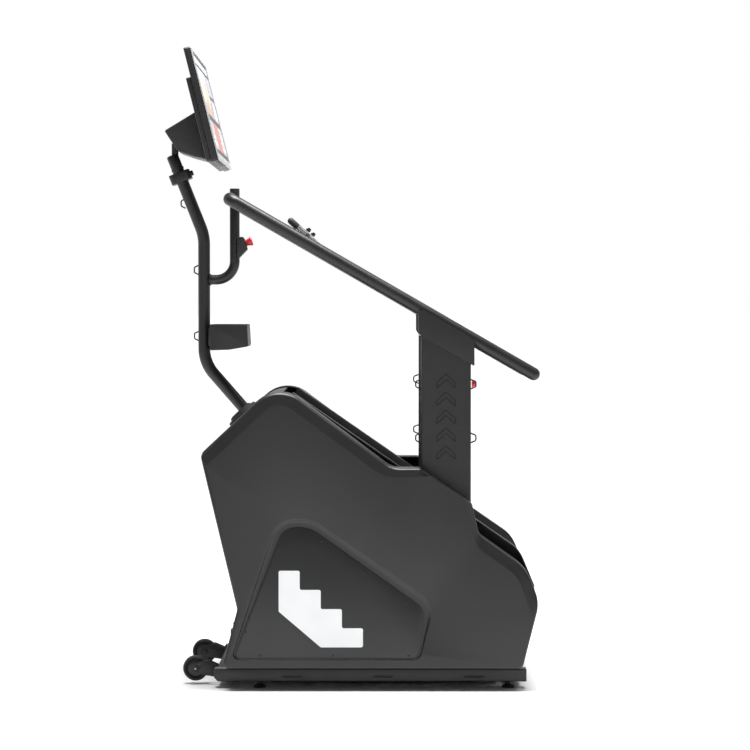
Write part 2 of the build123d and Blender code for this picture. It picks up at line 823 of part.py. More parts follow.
tray_half = 100
power_y = -200
with BuildPart() as tray:
    with BuildSketch(side_plane(tray_half)):
        with BuildLine():
            outline([(-466, 1183, 2), (-342, 1183, 2), (-338, 1109, 6), (-402, 1098, 60), (-466, 1096, 4)])
        make_face()
    extrude(amount=2 * tray_half)
    for y, w in ((-52, 88), (52, 88)):
        with BuildSketch(Plane.XY.offset(1183)):
            with Locations((-404, y)):
                RectangleRounded(112, w, 10)
        extrude(amount=-76, mode=Mode.SUBTRACT)
    with Locations((-468, 0, 1140)):
        Box(16, 50, 60)
    with BuildSketch(Plane.XY.offset(1090)):
        with Locations((mast_x, 0)):
            Circle(mast_r)
    extrude(amount=100, mode=Mode.SUBTRACT)
save(tray, "tray")

with BuildPart() as power_inlet:
    with Locations((-371, power_y, 165)):
        Box(40, 50, 28)
        with Locations((-14, 0, 0)):
            Box(20, 34, 20, mode=Mode.SUBTRACT)
save(power_inlet, "power_inlet")

with BuildPart() as power_switch:
    with BuildSketch(side_plane(power_y + 14)):
        with BuildLine():
            outline([(-386, 197, 1), (-378, 205, 3), (-378, 213, 1), (-364, 213, 1), (-364, 197, 1)])
        make_face()
    extrude(amount=28)
save(power_switch, "power_switch")
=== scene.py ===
import json
import math

import bmesh
import bpy
from mathutils import Matrix, Vector, kdtree

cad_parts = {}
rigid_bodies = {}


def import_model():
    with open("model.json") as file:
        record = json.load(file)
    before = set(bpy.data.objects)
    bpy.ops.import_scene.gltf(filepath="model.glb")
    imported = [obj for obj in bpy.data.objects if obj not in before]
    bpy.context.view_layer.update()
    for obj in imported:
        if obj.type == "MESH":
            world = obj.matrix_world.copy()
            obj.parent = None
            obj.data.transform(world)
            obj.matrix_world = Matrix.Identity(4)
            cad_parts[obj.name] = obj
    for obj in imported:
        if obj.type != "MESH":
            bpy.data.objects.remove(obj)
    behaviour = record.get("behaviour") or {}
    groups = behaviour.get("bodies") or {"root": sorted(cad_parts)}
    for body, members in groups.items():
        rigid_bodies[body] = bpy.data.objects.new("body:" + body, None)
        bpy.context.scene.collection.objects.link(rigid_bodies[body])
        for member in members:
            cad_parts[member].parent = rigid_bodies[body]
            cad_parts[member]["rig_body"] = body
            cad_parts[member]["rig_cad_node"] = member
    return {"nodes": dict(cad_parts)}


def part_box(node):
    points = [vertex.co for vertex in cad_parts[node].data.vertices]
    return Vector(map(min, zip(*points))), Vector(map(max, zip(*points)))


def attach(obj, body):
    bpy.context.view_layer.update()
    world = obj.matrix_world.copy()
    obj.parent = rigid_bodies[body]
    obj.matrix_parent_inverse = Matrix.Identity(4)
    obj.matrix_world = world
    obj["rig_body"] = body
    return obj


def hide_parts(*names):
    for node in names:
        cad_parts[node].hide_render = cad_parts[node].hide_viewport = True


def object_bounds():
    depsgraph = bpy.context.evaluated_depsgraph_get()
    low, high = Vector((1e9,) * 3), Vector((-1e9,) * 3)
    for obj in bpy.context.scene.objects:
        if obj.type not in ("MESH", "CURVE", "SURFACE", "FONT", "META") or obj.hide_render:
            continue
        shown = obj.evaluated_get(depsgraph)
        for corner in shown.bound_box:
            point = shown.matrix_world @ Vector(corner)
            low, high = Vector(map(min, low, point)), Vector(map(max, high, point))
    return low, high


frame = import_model()
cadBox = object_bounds()
print("frame loaded,", len(frame["nodes"]), "nodes")

# Sizes are in millimetres until finishPiece turns them into metres.
# +X is to the rear, where the user steps on, and -Y is the user's left.


# Finishes.

def surface(dark, light, drift, rough, grain, bump, depth=0.0001, metal=0.0, coat=0.0, glow=None):
    return {"dark": dark, "light": light, "drift": drift, "rough": rough, "grain": grain, "bump": bump,
            "depth": depth, "metal": metal, "coat": coat, "glow": glow}


def display(dark, light, drift, glow):  # a part of the lit picture behind the glass
    return surface(dark, light, drift, (0.34, 0.42), 1500, 0.02, glow=glow)


# two shades, size of their drift, range of roughness, then grain size, its strength and depth
finishes = {
    "shellPlastic": surface((0.0105, 0.0108, 0.0114), (0.013, 0.0133, 0.014), 3.0, (0.37, 0.43), 900,
                            0.12, 0.00012),
    "blackPlastic": surface((0.0095, 0.0095, 0.01), (0.0115, 0.0115, 0.012), 6.0, (0.42, 0.49), 1100,
                            0.16, 0.00015),
    "framePaint": surface((0.007, 0.007, 0.0075), (0.011, 0.011, 0.0115), 5.0, (0.38, 0.45), 700, 0.03, 5e-05),
    "uprightPaint": surface((0.0085, 0.0087, 0.0092), (0.011, 0.0112, 0.0118), 4.0, (0.38, 0.48), 800,
                            0.1, 0.00015),
    "bareSteel": surface((0.42, 0.42, 0.43), (0.58, 0.58, 0.59), 30.0, (0.24, 0.4), 350, 0.08, metal=1.0),
    "zincPlate": surface((0.5, 0.51, 0.52), (0.66, 0.67, 0.68), 60.0, (0.3, 0.48), 500, 0.1, metal=1.0),
    "stepAlloy": surface((0.022, 0.022, 0.023), (0.034, 0.034, 0.036), 12.0, (0.42, 0.58), 600, 0.2,
                         0.0002, metal=0.35),
    "rubber": surface((0.01, 0.01, 0.01), (0.017, 0.017, 0.017), 20.0, (0.68, 0.82), 1500, 0.25, 0.0002),
    "tyre": surface((0.012, 0.012, 0.012), (0.022, 0.022, 0.022), 25.0, (0.55, 0.72), 1200, 0.2, 0.0002),
    "redPlastic": surface((0.5, 0.006, 0.018), (0.6, 0.01, 0.024), 25.0, (0.24, 0.34), 900, 0.05, coat=0.3),
    "whiteInk": surface((0.86, 0.87, 0.88), (0.91, 0.92, 0.93), 8.0, (0.42, 0.52), 1600, 0.05),
    "silverPlastic": surface((0.46, 0.46, 0.47), (0.54, 0.54, 0.55), 12.0, (0.34, 0.44), 1200, 0.08, metal=0.2),
    "chainSteel": surface((0.1, 0.095, 0.09), (0.22, 0.21, 0.2), 80.0, (0.3, 0.55), 400, 0.15, 0.0002,
                          metal=1.0),
    # near-black, used for the wire loops, mast rivets and crossmembers, and as painted shade inside the chevron
    # grooves and base-rail slots
    "grooveBlack": surface((0.003, 0.003, 0.0032), (0.005, 0.005, 0.0052), 20.0, (0.55, 0.65), 900, 0.1),
    "nosingGrey": surface((0.1, 0.1, 0.1), (0.15, 0.15, 0.15), 30.0, (0.6, 0.72), 1600, 0.35, 0.0003),
    "blackZinc": surface((0.02, 0.02, 0.021), (0.045, 0.045, 0.046), 60.0, (0.3, 0.45), 700, 0.1, metal=0.8),
    "screenDark": surface((0.012, 0.013, 0.015), (0.018, 0.019, 0.022), 5.0, (0.4, 0.48), 1500, 0.02,
                          glow=(0.1, 0.11, 0.13)),
    "screenHeader": display((0.6, 0.61, 0.63), (0.72, 0.73, 0.75), 20.0, (0.55, 0.56, 0.58)),
    "screenTile": display((0.3, 0.31, 0.33), (0.42, 0.43, 0.45), 10.0, (0.26, 0.27, 0.29)),
    "screenSky": display((0.42, 0.46, 0.52), (0.66, 0.66, 0.66), 9.0, (0.42, 0.44, 0.47)),
    "screenGround": display((0.26, 0.2, 0.17), (0.48, 0.38, 0.31), 14.0, (0.26, 0.2, 0.17)),
    "screenWarm": display((0.62, 0.3, 0.2), (0.8, 0.52, 0.36), 16.0, (0.5, 0.24, 0.16)),
    "screenAccent": display((0.55, 0.12, 0.1), (0.68, 0.2, 0.14), 16.0, (0.34, 0.06, 0.05)),
    "gripPad": surface((0.013, 0.013, 0.014), (0.02, 0.02, 0.021), 30.0, (0.58, 0.7), 1400, 0.3, 0.0003),
}
materials = {}


def addNoise(tree, scale, detail):
    noise = tree.nodes.new("ShaderNodeTexNoise")
    noise.inputs["Scale"].default_value = scale
    noise.inputs["Detail"].default_value = detail
    return noise


def addRange(tree, low, high, newLow, newHigh):  # maps low to high onto newLow to newHigh
    node = tree.nodes.new("ShaderNodeMapRange")
    for socket, value in (("From Min", low), ("From Max", high), ("To Min", newLow), ("To Max", newHigh)):
        node.inputs[socket].default_value = value
    return node


def buildFinish(name, look):
    material = bpy.data.materials.new(name)
    material.use_nodes = True
    tree = material.node_tree
    shader = tree.nodes["Principled BSDF"]
    shader.inputs["Metallic"].default_value = look["metal"]
    shader.inputs["Coat Weight"].default_value = look["coat"]
    if look["glow"]:
        shader.inputs["Emission Color"].default_value = (*look["glow"], 1)
        shader.inputs["Emission Strength"].default_value = 0.55
    place = tree.nodes.new("ShaderNodeTexCoord")
    drift = addNoise(tree, look["drift"], 3)  # slow change of shade over the piece
    shade = tree.nodes.new("ShaderNodeValToRGB")
    for element, position, key in zip(shade.color_ramp.elements, (0.35, 0.65), ("dark", "light")):
        element.position = position
        element.color = (*look[key], 1)
    polish = addNoise(tree, look["drift"] * 2.7, 5)  # handled and cleaned areas are a little glossier
    rough = addRange(tree, 0.3, 0.7, *look["rough"])
    grain = addNoise(tree, look["grain"], 2)  # moulded or sprayed surface grain
    bump = tree.nodes.new("ShaderNodeBump")
    bump.inputs["Strength"].default_value = look["bump"]
    bump.inputs["Distance"].default_value = look["depth"]
    for texture in (drift, polish, grain):
        tree.links.new(place.outputs["Object"], texture.inputs["Vector"])
    tree.links.new(drift.outputs["Fac"], shade.inputs["Fac"])
    tree.links.new(shade.outputs["Color"], shader.inputs["Base Color"])
    tree.links.new(polish.outputs["Fac"], rough.inputs["Value"])
    tree.links.new(rough.outputs["Result"], shader.inputs["Roughness"])
    tree.links.new(grain.outputs["Fac"], bump.inputs["Height"])
    tree.links.new(bump.outputs["Normal"], shader.inputs["Normal"])
    return material


for name, look in finishes.items():
    materials[name] = buildFinish(name, look)
print("finishes made")


# Ways of working.

def span(node):  # a node's lowest and highest corners, in millimetres
    low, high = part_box(node)
    return low * 1000, high * 1000


def clearSelection():
    if bpy.context.object and bpy.context.object.mode != "OBJECT":
        bpy.ops.object.mode_set(mode="OBJECT")
    bpy.ops.object.select_all(action="DESELECT")


def activate(piece):
    clearSelection()
    piece.select_set(True)
    bpy.context.view_layer.objects.active = piece


def edit(piece, kind="FACE"):  # into edit mode with nothing selected
    activate(piece)
    bpy.ops.object.mode_set(mode="EDIT")
    bpy.ops.mesh.select_mode(type=kind)
    bpy.ops.mesh.select_all(action="DESELECT")


def leave():
    bpy.ops.object.mode_set(mode="OBJECT")


def pick(kind, test):
    # selects what passes the test, given a face's middle and normal or an edge's two ends
    bpy.ops.mesh.select_mode(type=kind)
    bpy.ops.mesh.select_all(action="DESELECT")
    mesh = bmesh.from_edit_mesh(bpy.context.object.data)
    for part in mesh.faces if kind == "FACE" else mesh.edges:
        facts = (part.calc_center_median(), part.normal) if kind == "FACE" else [end.co for end in part.verts]
        if test(*facts):
            part.select_set(True)
    mesh.select_flush_mode()
    bmesh.update_edit_mesh(bpy.context.object.data)


def extrudeBy(push):
    bpy.ops.mesh.extrude_region_move(TRANSFORM_OT_translate={"value": push})


def tidyMesh(piece, gap=0.001):  # joins doubles and turns every face outwards
    edit(piece)
    bpy.ops.mesh.select_all(action="SELECT")
    bpy.ops.mesh.remove_doubles(threshold=gap)
    bpy.ops.mesh.normals_make_consistent(inside=False)
    leave()


def modify(piece, kind, **settings):
    activate(piece)
    bpy.ops.object.modifier_add(type=kind)
    modifier = piece.modifiers[-1]
    for key, value in settings.items():
        setattr(modifier, key, value)
    bpy.ops.object.modifier_apply(modifier=modifier.name)
    return piece


def softenEdges(piece, width, steps=3, angle=30):
    return modify(piece, "BEVEL", width=width, segments=steps, limit_method="ANGLE",
                  angle_limit=math.radians(angle), use_clamp_overlap=True)


def cutAway(piece, cutter):
    modify(piece, "BOOLEAN", operation="DIFFERENCE", object=cutter, solver="EXACT")
    bpy.data.objects.remove(cutter)
    return piece


def duplicate(piece):
    activate(piece)
    bpy.ops.object.duplicate()
    return bpy.context.object


def mirrored(piece):  # the same piece on the machine's other side
    other = duplicate(piece)
    other.data.transform(Matrix.Scale(-1, 4, (0, 1, 0)))
    other.data.flip_normals()
    return other


def joined(pieces):
    activate(pieces[0])
    for piece in pieces:
        piece.select_set(True)
    bpy.ops.object.join()
    return bpy.context.object


def finishPiece(piece, name, finish, body, replaced=(), smooth=32):
    activate(piece)
    bpy.ops.object.transform_apply(location=True, rotation=True, scale=True)
    piece.data.transform(Matrix.Scale(0.001, 4))
    piece.name = name
    piece.data.name = name
    if not piece.data.materials:
        piece.data.materials.append(materials[finish])
    bpy.ops.object.shade_smooth_by_angle(angle=math.radians(smooth))
    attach(piece, body)
    if replaced:
        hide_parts(*replaced)
    return piece


def bothSides(left):
    return joined([left, mirrored(left)])


def finishPair(left, name, finish, node=None, smooth=32):  # the piece and its twin on the right
    right = mirrored(left)
    for piece, side in ((left, "left"), (right, "right")):
        stoodFor = [node + "_" + side] if node else ()
        finishPiece(piece, name + side.title(), finish, "frame", stoodFor, smooth)


def cornerArc(back, here, ahead, radius, steps):  # points of a rounded corner between its two neighbours
    toBack, toAhead = (back - here).normalized(), (ahead - here).normalized()
    half = toBack.angle(toAhead) / 2
    reach = radius / math.tan(half)
    middle = here + (toBack + toAhead).normalized() * radius / math.sin(half)
    start, end = here + toBack * reach - middle, here + toAhead * reach - middle
    first = math.atan2(start.y, start.x)
    turn = math.atan2(start.x * end.y - start.y * end.x, start.dot(end))
    angles = [first + turn * step / steps for step in range(steps + 1)]
    return [(middle.x + radius * math.cos(angle), middle.y + radius * math.sin(angle)) for angle in angles]


def roundOff(corners, steps=6, values=None):
    # outline points from corners of u, v and radius; values of the edges blend round each corner
    points = []
    count = len(corners)
    for index, (u, v, radius) in enumerate(corners):
        before = values[index - 1] if values else 0
        after = values[index] if values else 0
        if radius == 0:
            points.append((u, v, (before + after) / 2))
            continue
        arc = cornerArc(Vector(corners[index - 1][:2]), Vector((u, v)),
                        Vector(corners[(index + 1) % count][:2]), radius, steps)
        for step, (x, y) in enumerate(arc):
            points.append((x, y, before + (after - before) * step / steps))
    return points


def openPath(corners, steps=10):  # the same for a line with two ends
    points = [tuple(corners[0][:2])]
    for back, here, ahead in zip(corners, corners[1:], corners[2:]):
        points += cornerArc(Vector(back[:2]), Vector(here[:2]), Vector(ahead[:2]), here[2], steps)
    return points + [tuple(corners[-1][:2])]


def insetCorners(corners, insets):  # corners moved inwards, each edge by its own distance
    count = len(corners)
    flat = [Vector(corner[:2]) for corner in corners]
    area = sum(flat[i - 1].x * flat[i].y - flat[i].x * flat[i - 1].y for i in range(count))
    way = 1 if area > 0 else -1
    lines = []
    for index in range(count):
        along = (flat[(index + 1) % count] - flat[index]).normalized()
        inwards = Vector((-along.y, along.x)) * way
        lines.append((flat[index] + inwards * insets[index], along))
    moved = []
    for index in range(count):
        (a, alongA), (b, alongB) = lines[index - 1], lines[index]
        cross = alongA.x * alongB.y - alongA.y * alongB.x
        gap = b - a
        here = a + alongA * ((gap.x * alongB.y - gap.y * alongB.x) / cross)
        mean = (insets[index - 1] + insets[index]) / 2
        radius = corners[index][2]
        if radius:
            radius = max(radius - mean, 2) if cross * way > 0 else radius + mean
        moved.append((here.x, here.y, radius))
    return moved


def sidePoints(outline, y):  # outline points of x and z, stood up across the machine's width at y
    return [(u, y, v) for u, v, *rest in outline]


def drawRing(points, filled=False):  # a circle whose corners are moved to the points
    clearSelection()
    bpy.ops.mesh.primitive_circle_add(vertices=len(points), fill_type="NGON" if filled else "NOTHING")
    piece = bpy.context.object
    for corner, point in zip(piece.data.vertices, points):
        corner.co = point
    return piece


def slab(points, push):  # an outline given thickness
    piece = drawRing(points, filled=True)
    edit(piece)
    bpy.ops.mesh.select_all(action="SELECT")
    extrudeBy(push)
    leave()
    tidyMesh(piece)
    return piece


def sideSlab(outline, near, far):  # the same, from one y to another
    return slab(sidePoints(outline, near), (0, far - near, 0))


def loft(rings, closeStart=False, closeEnd=False):  # rings of equal counts, joined one after another
    piece = drawRing(rings[0])
    edit(piece, "VERT")
    bpy.ops.mesh.select_all(action="SELECT")
    for before, after in zip(rings, rings[1:]):
        extrudeBy((0, 0, 0))
        finder = kdtree.KDTree(len(before))
        for index, point in enumerate(before):
            finder.insert(point, index)
        finder.balance()
        mesh = bmesh.from_edit_mesh(piece.data)
        for corner in mesh.verts:
            if corner.select:
                corner.co = after[finder.find(corner.co)[1]]
        bmesh.update_edit_mesh(piece.data)
    if closeEnd:
        bpy.ops.mesh.edge_face_add()
    if closeStart:
        bpy.ops.mesh.select_all(action="DESELECT")
        mesh = bmesh.from_edit_mesh(piece.data)
        mesh.verts.ensure_lookup_table()
        for index in range(len(rings[0])):
            mesh.verts[index].select_set(True)
        mesh.select_flush_mode()
        bmesh.update_edit_mesh(piece.data)
        bpy.ops.mesh.edge_face_add()
    leave()
    tidyMesh(piece)
    return piece


def axisFrame(axis):  # two directions square to an axis
    axis = Vector(axis).normalized()
    side = axis.cross(Vector((0, 1, 0)) if abs(axis.y) < 0.9 else Vector((1, 0, 0))).normalized()
    return axis, side


def lathe(profile, centre, axis, steps=40):  # a profile of radius and distance along the axis, spun round it
    axis, side = axisFrame(axis)
    centre = Vector(centre)
    if profile[0][0] > 0 and profile[-1][0] > 0:  # a ring closes on itself
        profile = profile + [profile[0]]
    spots = [centre + side * radius + axis * along for radius, along in profile]
    clearSelection()
    bpy.ops.mesh.primitive_plane_add(size=1, location=spots[0])
    piece = bpy.context.object
    bpy.ops.object.transform_apply(location=True)
    edit(piece, "VERT")
    bpy.ops.mesh.select_all(action="SELECT")
    bpy.ops.mesh.merge(type="CENTER")
    for before, after in zip(spots, spots[1:]):
        extrudeBy(after - before)
    bpy.ops.mesh.select_all(action="SELECT")
    bpy.ops.mesh.spin(steps=steps, angle=math.tau, center=centre, axis=axis)
    leave()
    tidyMesh(piece, gap=0.005)
    return piece


def tube(path, radius, across, sides=32, domes=(False, False)):
    # a round bar along a flat path, whose plane faces across; a dome closes an end, or a flat disc
    across = Vector(across).normalized()
    path = [Vector(point) for point in path]
    rings = []
    for index, point in enumerate(path):
        way = (path[min(index + 1, len(path) - 1)] - path[max(index - 1, 0)]).normalized()
        if 0 < index < len(path) - 1:
            way = ((path[index + 1] - point).normalized() + (point - path[index - 1]).normalized()).normalized()
        rings.append((point, way, radius))
    for end, dome in enumerate(domes):
        point, way, radius = rings[-1] if end else rings[0]
        sign = 1 if end else -1
        for step in range(1, 6 if dome else 1):
            angle = step * math.pi / 11
            ring = (point + way * sign * radius * math.sin(angle), way, radius * math.cos(angle))
            rings.insert(len(rings) if end else 0, ring)
    turns = [math.tau * side / sides for side in range(sides)]
    circles = [[point + (across * math.cos(turn) + way.cross(across) * math.sin(turn)) * size for turn in turns]
               for point, way, size in rings]
    return loft(circles, closeStart=True, closeEnd=True)


def block(low, high):  # a box from corner to corner, for cutting with or to shape further
    clearSelection()
    low, high = Vector(low), Vector(high)
    bpy.ops.mesh.primitive_cube_add(size=1, location=(low + high) / 2)
    piece = bpy.context.object
    piece.scale = high - low
    bpy.ops.object.transform_apply(location=True, rotation=True, scale=True)
    return piece


def rod(radius, start, end, sides=24):
    clearSelection()
    start, end = Vector(start), Vector(end)
    bpy.ops.mesh.primitive_cylinder_add(vertices=sides, radius=radius, depth=(end - start).length,
                                        location=(start + end) / 2)
    piece = bpy.context.object
    piece.rotation_euler = (end - start).to_track_quat("Z", "Y").to_euler()
    bpy.ops.object.transform_apply(location=True, rotation=True, scale=True)
    return piece


def paintFaces(piece, finish, test):  # gives a second finish to the faces that pass the test
    piece.data.materials.append(materials[finish])
    index = len(piece.data.materials) - 1
    for face in piece.data.polygons:
        if test(face.center, face.normal):
            face.material_index = index


# Side shells.

shell = {
    # corners of x, z and rounding, from the front's foot up and round to the rear
    "corners": [(-410, 74, 18), (-360, 264, 30), (-479, 766, 30), (-231, 999, 110), (142, 721, 80),
                (230, 721, 18), (398, 607, 20), (420, 508, 40), (575, 398, 150), (616, 287, 110),
                (562, 74, 18)],
    # for each edge: rounding of the rim, then width and fall of the sloped band beside it
    "rims": [(7, 3, 0.5), (9, 4, 0.6), (14, 28, 7), (14, 28, 7), (11, 18, 5), (3, 1, 0.2), (8, 10, 2),
             (13, 26, 7), (13, 26, 7), (8, 5, 1), (4, 1, 0.2)],
    "cornerSteps": 10,
    "rimSteps": 5,
    "bandShares": [0.70, 0.86, 0.95, 1.0],
    "bandFalls": [0.26, 0.08, 0.02, 0.0],
    "wall": 4,
    "panelFall": 8,
    "pocketDepth": 4,
}
panel = {
    "corners": [(-374, 105, 20), (-211, 530, 60), (-126, 530, 110), (246, 266, 58), (226, 105, 28)],
    "crease": [(-382, 99, 22), (-234, 560, 80), (-118, 560, 130), (280, 286, 80), (231, 101, 28)],
    "creaseShares": [0, 0.06, 0.13, 0.22, 0.32, 0.42, 0.55, 1.0],
    "creaseFalls": [0, 0.04, 0.16, 0.44, 0.74, 0.92, 1.0, 1.0],
    "gap": 1.2,
    "thickness": 3,
    "edge": 0.7,
    "screws": [(-226, 456), (-86, 486), (49, 385), (185, 284), (-333, 190), (-288, 115), (-50, 115),
               (194, 115)],
    "shellScrews": [(-298, 88), (310, 92), (540, 90)],
}
shellOuter = -span("side_shell_left")[0].y
shellInner = -span("side_shell_left")[1].y
panelFace = shellOuter - shell["panelFall"]


def shellRing(turn, insetShare, fallShare):
    # a ring of the left shell: part way round its rim, then part way over its band
    angle = turn * math.pi / 2
    insets = [r * (1 - math.cos(angle)) + wide * insetShare for r, wide, fall in shell["rims"]]
    falls = [r * (1 - math.sin(angle)) + fall * fallShare for r, wide, fall in shell["rims"]]
    corners = insetCorners(shell["corners"], insets)
    return [(x, fall - shellOuter, z) for x, z, fall in roundOff(corners, shell["cornerSteps"], falls)]


def buildShell():
    rings = [[(x, -shellInner, z) for x, y, z in shellRing(0, 0, 1)]]
    rings += [shellRing(step / shell["rimSteps"], 0, 1) for step in range(shell["rimSteps"] + 1)]
    rings += [shellRing(1, inset, fall) for inset, fall in zip(shell["bandShares"], shell["bandFalls"])]
    skin = loft(rings)
    outer = roundOff(panel["crease"], 8)
    inner = roundOff(insetCorners(panel["corners"], [-panel["gap"]] * 5), 8)
    dish = []
    for share, fall in zip(panel["creaseShares"], panel["creaseFalls"]):
        depth = fall * shell["panelFall"]
        dish.append([(a[0] + (b[0] - a[0]) * share, depth - shellOuter, a[1] + (b[1] - a[1]) * share)
                     for a, b in zip(outer, inner)])
    dish.append([(x, y + shell["pocketDepth"], z) for x, y, z in dish[-1]])
    pocket = loft(dish, closeEnd=True)
    skin = joined([skin, pocket])
    edit(skin, "EDGE")
    pick("EDGE", lambda a, b: a.y < 0.001 - shellOuter and b.y < 0.001 - shellOuter)
    bpy.ops.mesh.fill(use_beauty=True)
    leave()
    tidyMesh(skin)
    modify(skin, "SOLIDIFY", thickness=shell["wall"], offset=-1)
    low, high = span("upright_left")
    cutAway(skin, block((low.x - 0.5, low.y - 0.6, 540), (high.x + 0.5, -shellInner + 20, 900)))
    return skin


finishPair(buildShell(), "sideShell", "shellPlastic", "side_shell", 28)
print("side shells made")


# Access panels, their graphic and screws.

graphic = {"right": 46, "base": 142, "tread": 68, "rise": 62, "steps": 4, "under": 70, "corner": 6}


def buildPanel():
    plate = sideSlab(roundOff(panel["corners"], 8), -panelFace + panel["thickness"], -panelFace)
    return softenEdges(plate, panel["edge"], 2, 60)


def buildGraphic():  # a plain flight of steps, rising to the front
    x, z, corner = graphic["right"], graphic["base"], graphic["corner"]
    corners = [(x, z, corner)]
    for step in range(graphic["steps"]):
        z += graphic["rise"]
        corners.append((x, z, corner))
        x -= graphic["tread"]
        corners.append((x, z, corner))
    corners.append((x, z - graphic["rise"] - graphic["under"], corner))
    corners.append((x + 2 * graphic["tread"], graphic["base"], corner))
    return sideSlab(roundOff(corners, 4), -panelFace + 0.5, -panelFace - 0.35)


def buildScrew(x, z, face, radius):  # a low domed head with a hexagon socket
    profile = [(0, radius * 0.55), (radius * 0.45, radius * 0.52), (radius * 0.8, radius * 0.38), (radius, 0.3),
               (radius, -1), (0, -1)]
    head = lathe(profile, (x, -face, z), (0, -1, 0), 24)
    return cutAway(head, rod(radius * 0.45, (x, -face - radius, z), (x, -face - 0.3, z), 6))


heads = [buildScrew(x, z, panelFace, 4) for x, z in panel["screws"]]
heads += [buildScrew(x, z, shellOuter - 2.8, 4.5) for x, z in panel["shellScrews"]]
allHeads = bothSides(joined(heads))
finishPair(buildPanel(), "accessPanel", "shellPlastic", "access_panel")
finishPair(buildGraphic(), "sideGraphic", "whiteInk")
finishPiece(allHeads, "panelScrews", "blackPlastic", "frame", ["panel_screws"])
print("panels made")


# Uprights.

upright = {
    "corners": [(234, 520, 0), (396, 520, 0), (396, 1055, 0), (234, 1144, 0)],
    "edge": 8,
    "chevrons": 5,
    "chevronLow": 742,
    "chevronPitch": 58,
    "chevronHalf": 32,
    "chevronRise": 30,
    "stroke": 22,
    "line": 3.2,
    "depth": 1.8,
}


def chevron(z, middle, inset):
    half, rise, stroke = upright["chevronHalf"], upright["chevronRise"], upright["stroke"]
    corners = [(middle - half, z, 3), (middle, z + rise, 3), (middle + half, z, 3),
               (middle + half, z + stroke, 3), (middle, z + rise + stroke, 3), (middle - half, z + stroke, 3)]
    return roundOff(insetCorners(corners, [inset] * 6), 3)


def buildUpright():
    low, high = span("upright_left")
    post = sideSlab(roundOff(upright["corners"]), high.y, low.y)
    edit(post, "EDGE")
    pick("EDGE", lambda a, b: abs(a.x - b.x) < 0.1 and abs(a.y - b.y) < 0.1)
    bpy.ops.mesh.bevel(offset=upright["edge"], segments=5, affect="EDGES")
    leave()
    middle = (low.x + high.x) / 2
    for index in range(upright["chevrons"]):  # a column of chevrons, drawn as sunk outlines
        z = upright["chevronLow"] + index * upright["chevronPitch"]
        groove = sideSlab(chevron(z, middle, 0), low.y - 2, low.y + upright["depth"])
        cutAway(groove, sideSlab(chevron(z, middle, upright["line"]), low.y - 4, low.y + 4))
        cutAway(post, groove)
    post.data.materials.append(materials["uprightPaint"])
    # the faces inside the sunk chevron outlines get the near-black finish: painted shade in the grooves
    paintFaces(post, "grooveBlack", lambda at, way: low.y + 0.3 < at.y < low.y + upright["depth"] + 0.3
               and abs(at.x - middle) < upright["chevronHalf"] + 2 and at.z > 700)
    return post


finishPair(buildUpright(), "upright", "uprightPaint", "upright")
print("uprights made")


def buildCap():  # the casting that joins the upright to the rail
    low, high = span("upright_caps")
    corners = [(225, 1160, 4), (225, 1224, 8), (239, 1234, 6), (390, 1147, 6), (407, 1134, 10), (407, 1049, 3),
               (398, 1054, 2), (234, 1145.9, 2)]
    wide, gap, past = 70, 0.3, 40
    cap = sideSlab(roundOff(corners, 5), low.y + wide, low.y)
    softenEdges(cap, 4, 4, 40)
    middle = low.y + wide / 2
    bore = rod(rail["radius"] + gap, railPoint(-past, middle), railPoint(rail["long"] + past, middle), 48)
    return cutAway(cap, bore)


# Rails, mast and grab tube.

rail = {"front": (-388, 1592), "rear": (600, 1023), "y": 300, "turnIn": 34, "radius": 21, "bend": 30,
        "sides": 40, "collarWide": 3, "collarProud": 0.5}
mastTube = {"route": [(-343, 883), (-491, 1053, 130), (-491, 1480, 160), (-577.3, 1697)], "radius": 20,
            "sides": 40, "bendSteps": 14}
grabTube = {"route": [(-475, 1332), (-388, 1332, 62), (-388, 1638)], "radius": 16.5, "sides": 36,
            "bendSteps": 14, "edge": 1.5, "weldAt": (-471.5, 0, 1332)}
railWay = Vector((rail["rear"][0] - rail["front"][0], rail["rear"][1] - rail["front"][1])).normalized()
rail["long"] = math.dist(rail["front"], rail["rear"])


def railPoint(along, y):  # a point of the rails' slanted plane
    return (rail["front"][0] + railWay.x * along, y, rail["front"][1] + railWay.y * along)


railNormal = (-railWay.y, 0, railWay.x)
route = openPath([(rail["long"], -rail["y"]), (0, -rail["y"], rail["bend"]), (0, rail["turnIn"] - rail["y"])])
leftRail = tube([railPoint(along, y) for along, y in route], rail["radius"], railNormal, rail["sides"],
                (True, False))
finishPair(leftRail, "handrail", "framePaint", "handrail", 40)
reach = rail["y"] - rail["turnIn"]
bar = tube([railPoint(0, -reach), railPoint(0, reach)], rail["radius"], railNormal, rail["sides"])
inner, outer = rail["radius"], rail["radius"] + rail["collarProud"]
wide, chamfer = rail["collarWide"], 0.3
profile = [(inner, 0), (outer, chamfer), (outer, wide - chamfer), (inner, wide)]
collar = [lathe(profile, railPoint(0, side * (reach - wide / 2) - wide / 2), (0, 1, 0), rail["sides"])
          for side in (-1, 1)]
finishPiece(joined([bar] + collar), "crossBar", "framePaint", "frame", ["crossbar"], 40)
route = openPath(mastTube["route"], mastTube["bendSteps"])
piece = tube([(x, 0, z) for x, z in route], mastTube["radius"], (0, 1, 0), mastTube["sides"])
finishPiece(piece, "mastTube", "framePaint", "frame", ["mast"], 40)
route = openPath(grabTube["route"], grabTube["bendSteps"])
piece = tube([(x, 0, z) for x, z in route], grabTube["radius"], (0, 1, 0), grabTube["sides"])
softenEdges(piece, grabTube["edge"], 2, 60)
weld = lathe([(15.5, -2), (20.5, 0), (19, 3.4), (17.2, 5.4), (16.2, 6)], grabTube["weldAt"], (1, 0, 0),
             grabTube["sides"])
finishPiece(joined([piece, weld]), "grabTube", "framePaint", "frame", ["grab_tube"], 40)
caps = bothSides(buildCap())
finishPiece(caps, "uprightCaps", "blackPlastic", "frame", ["upright_caps"], 35)
print("rails made")


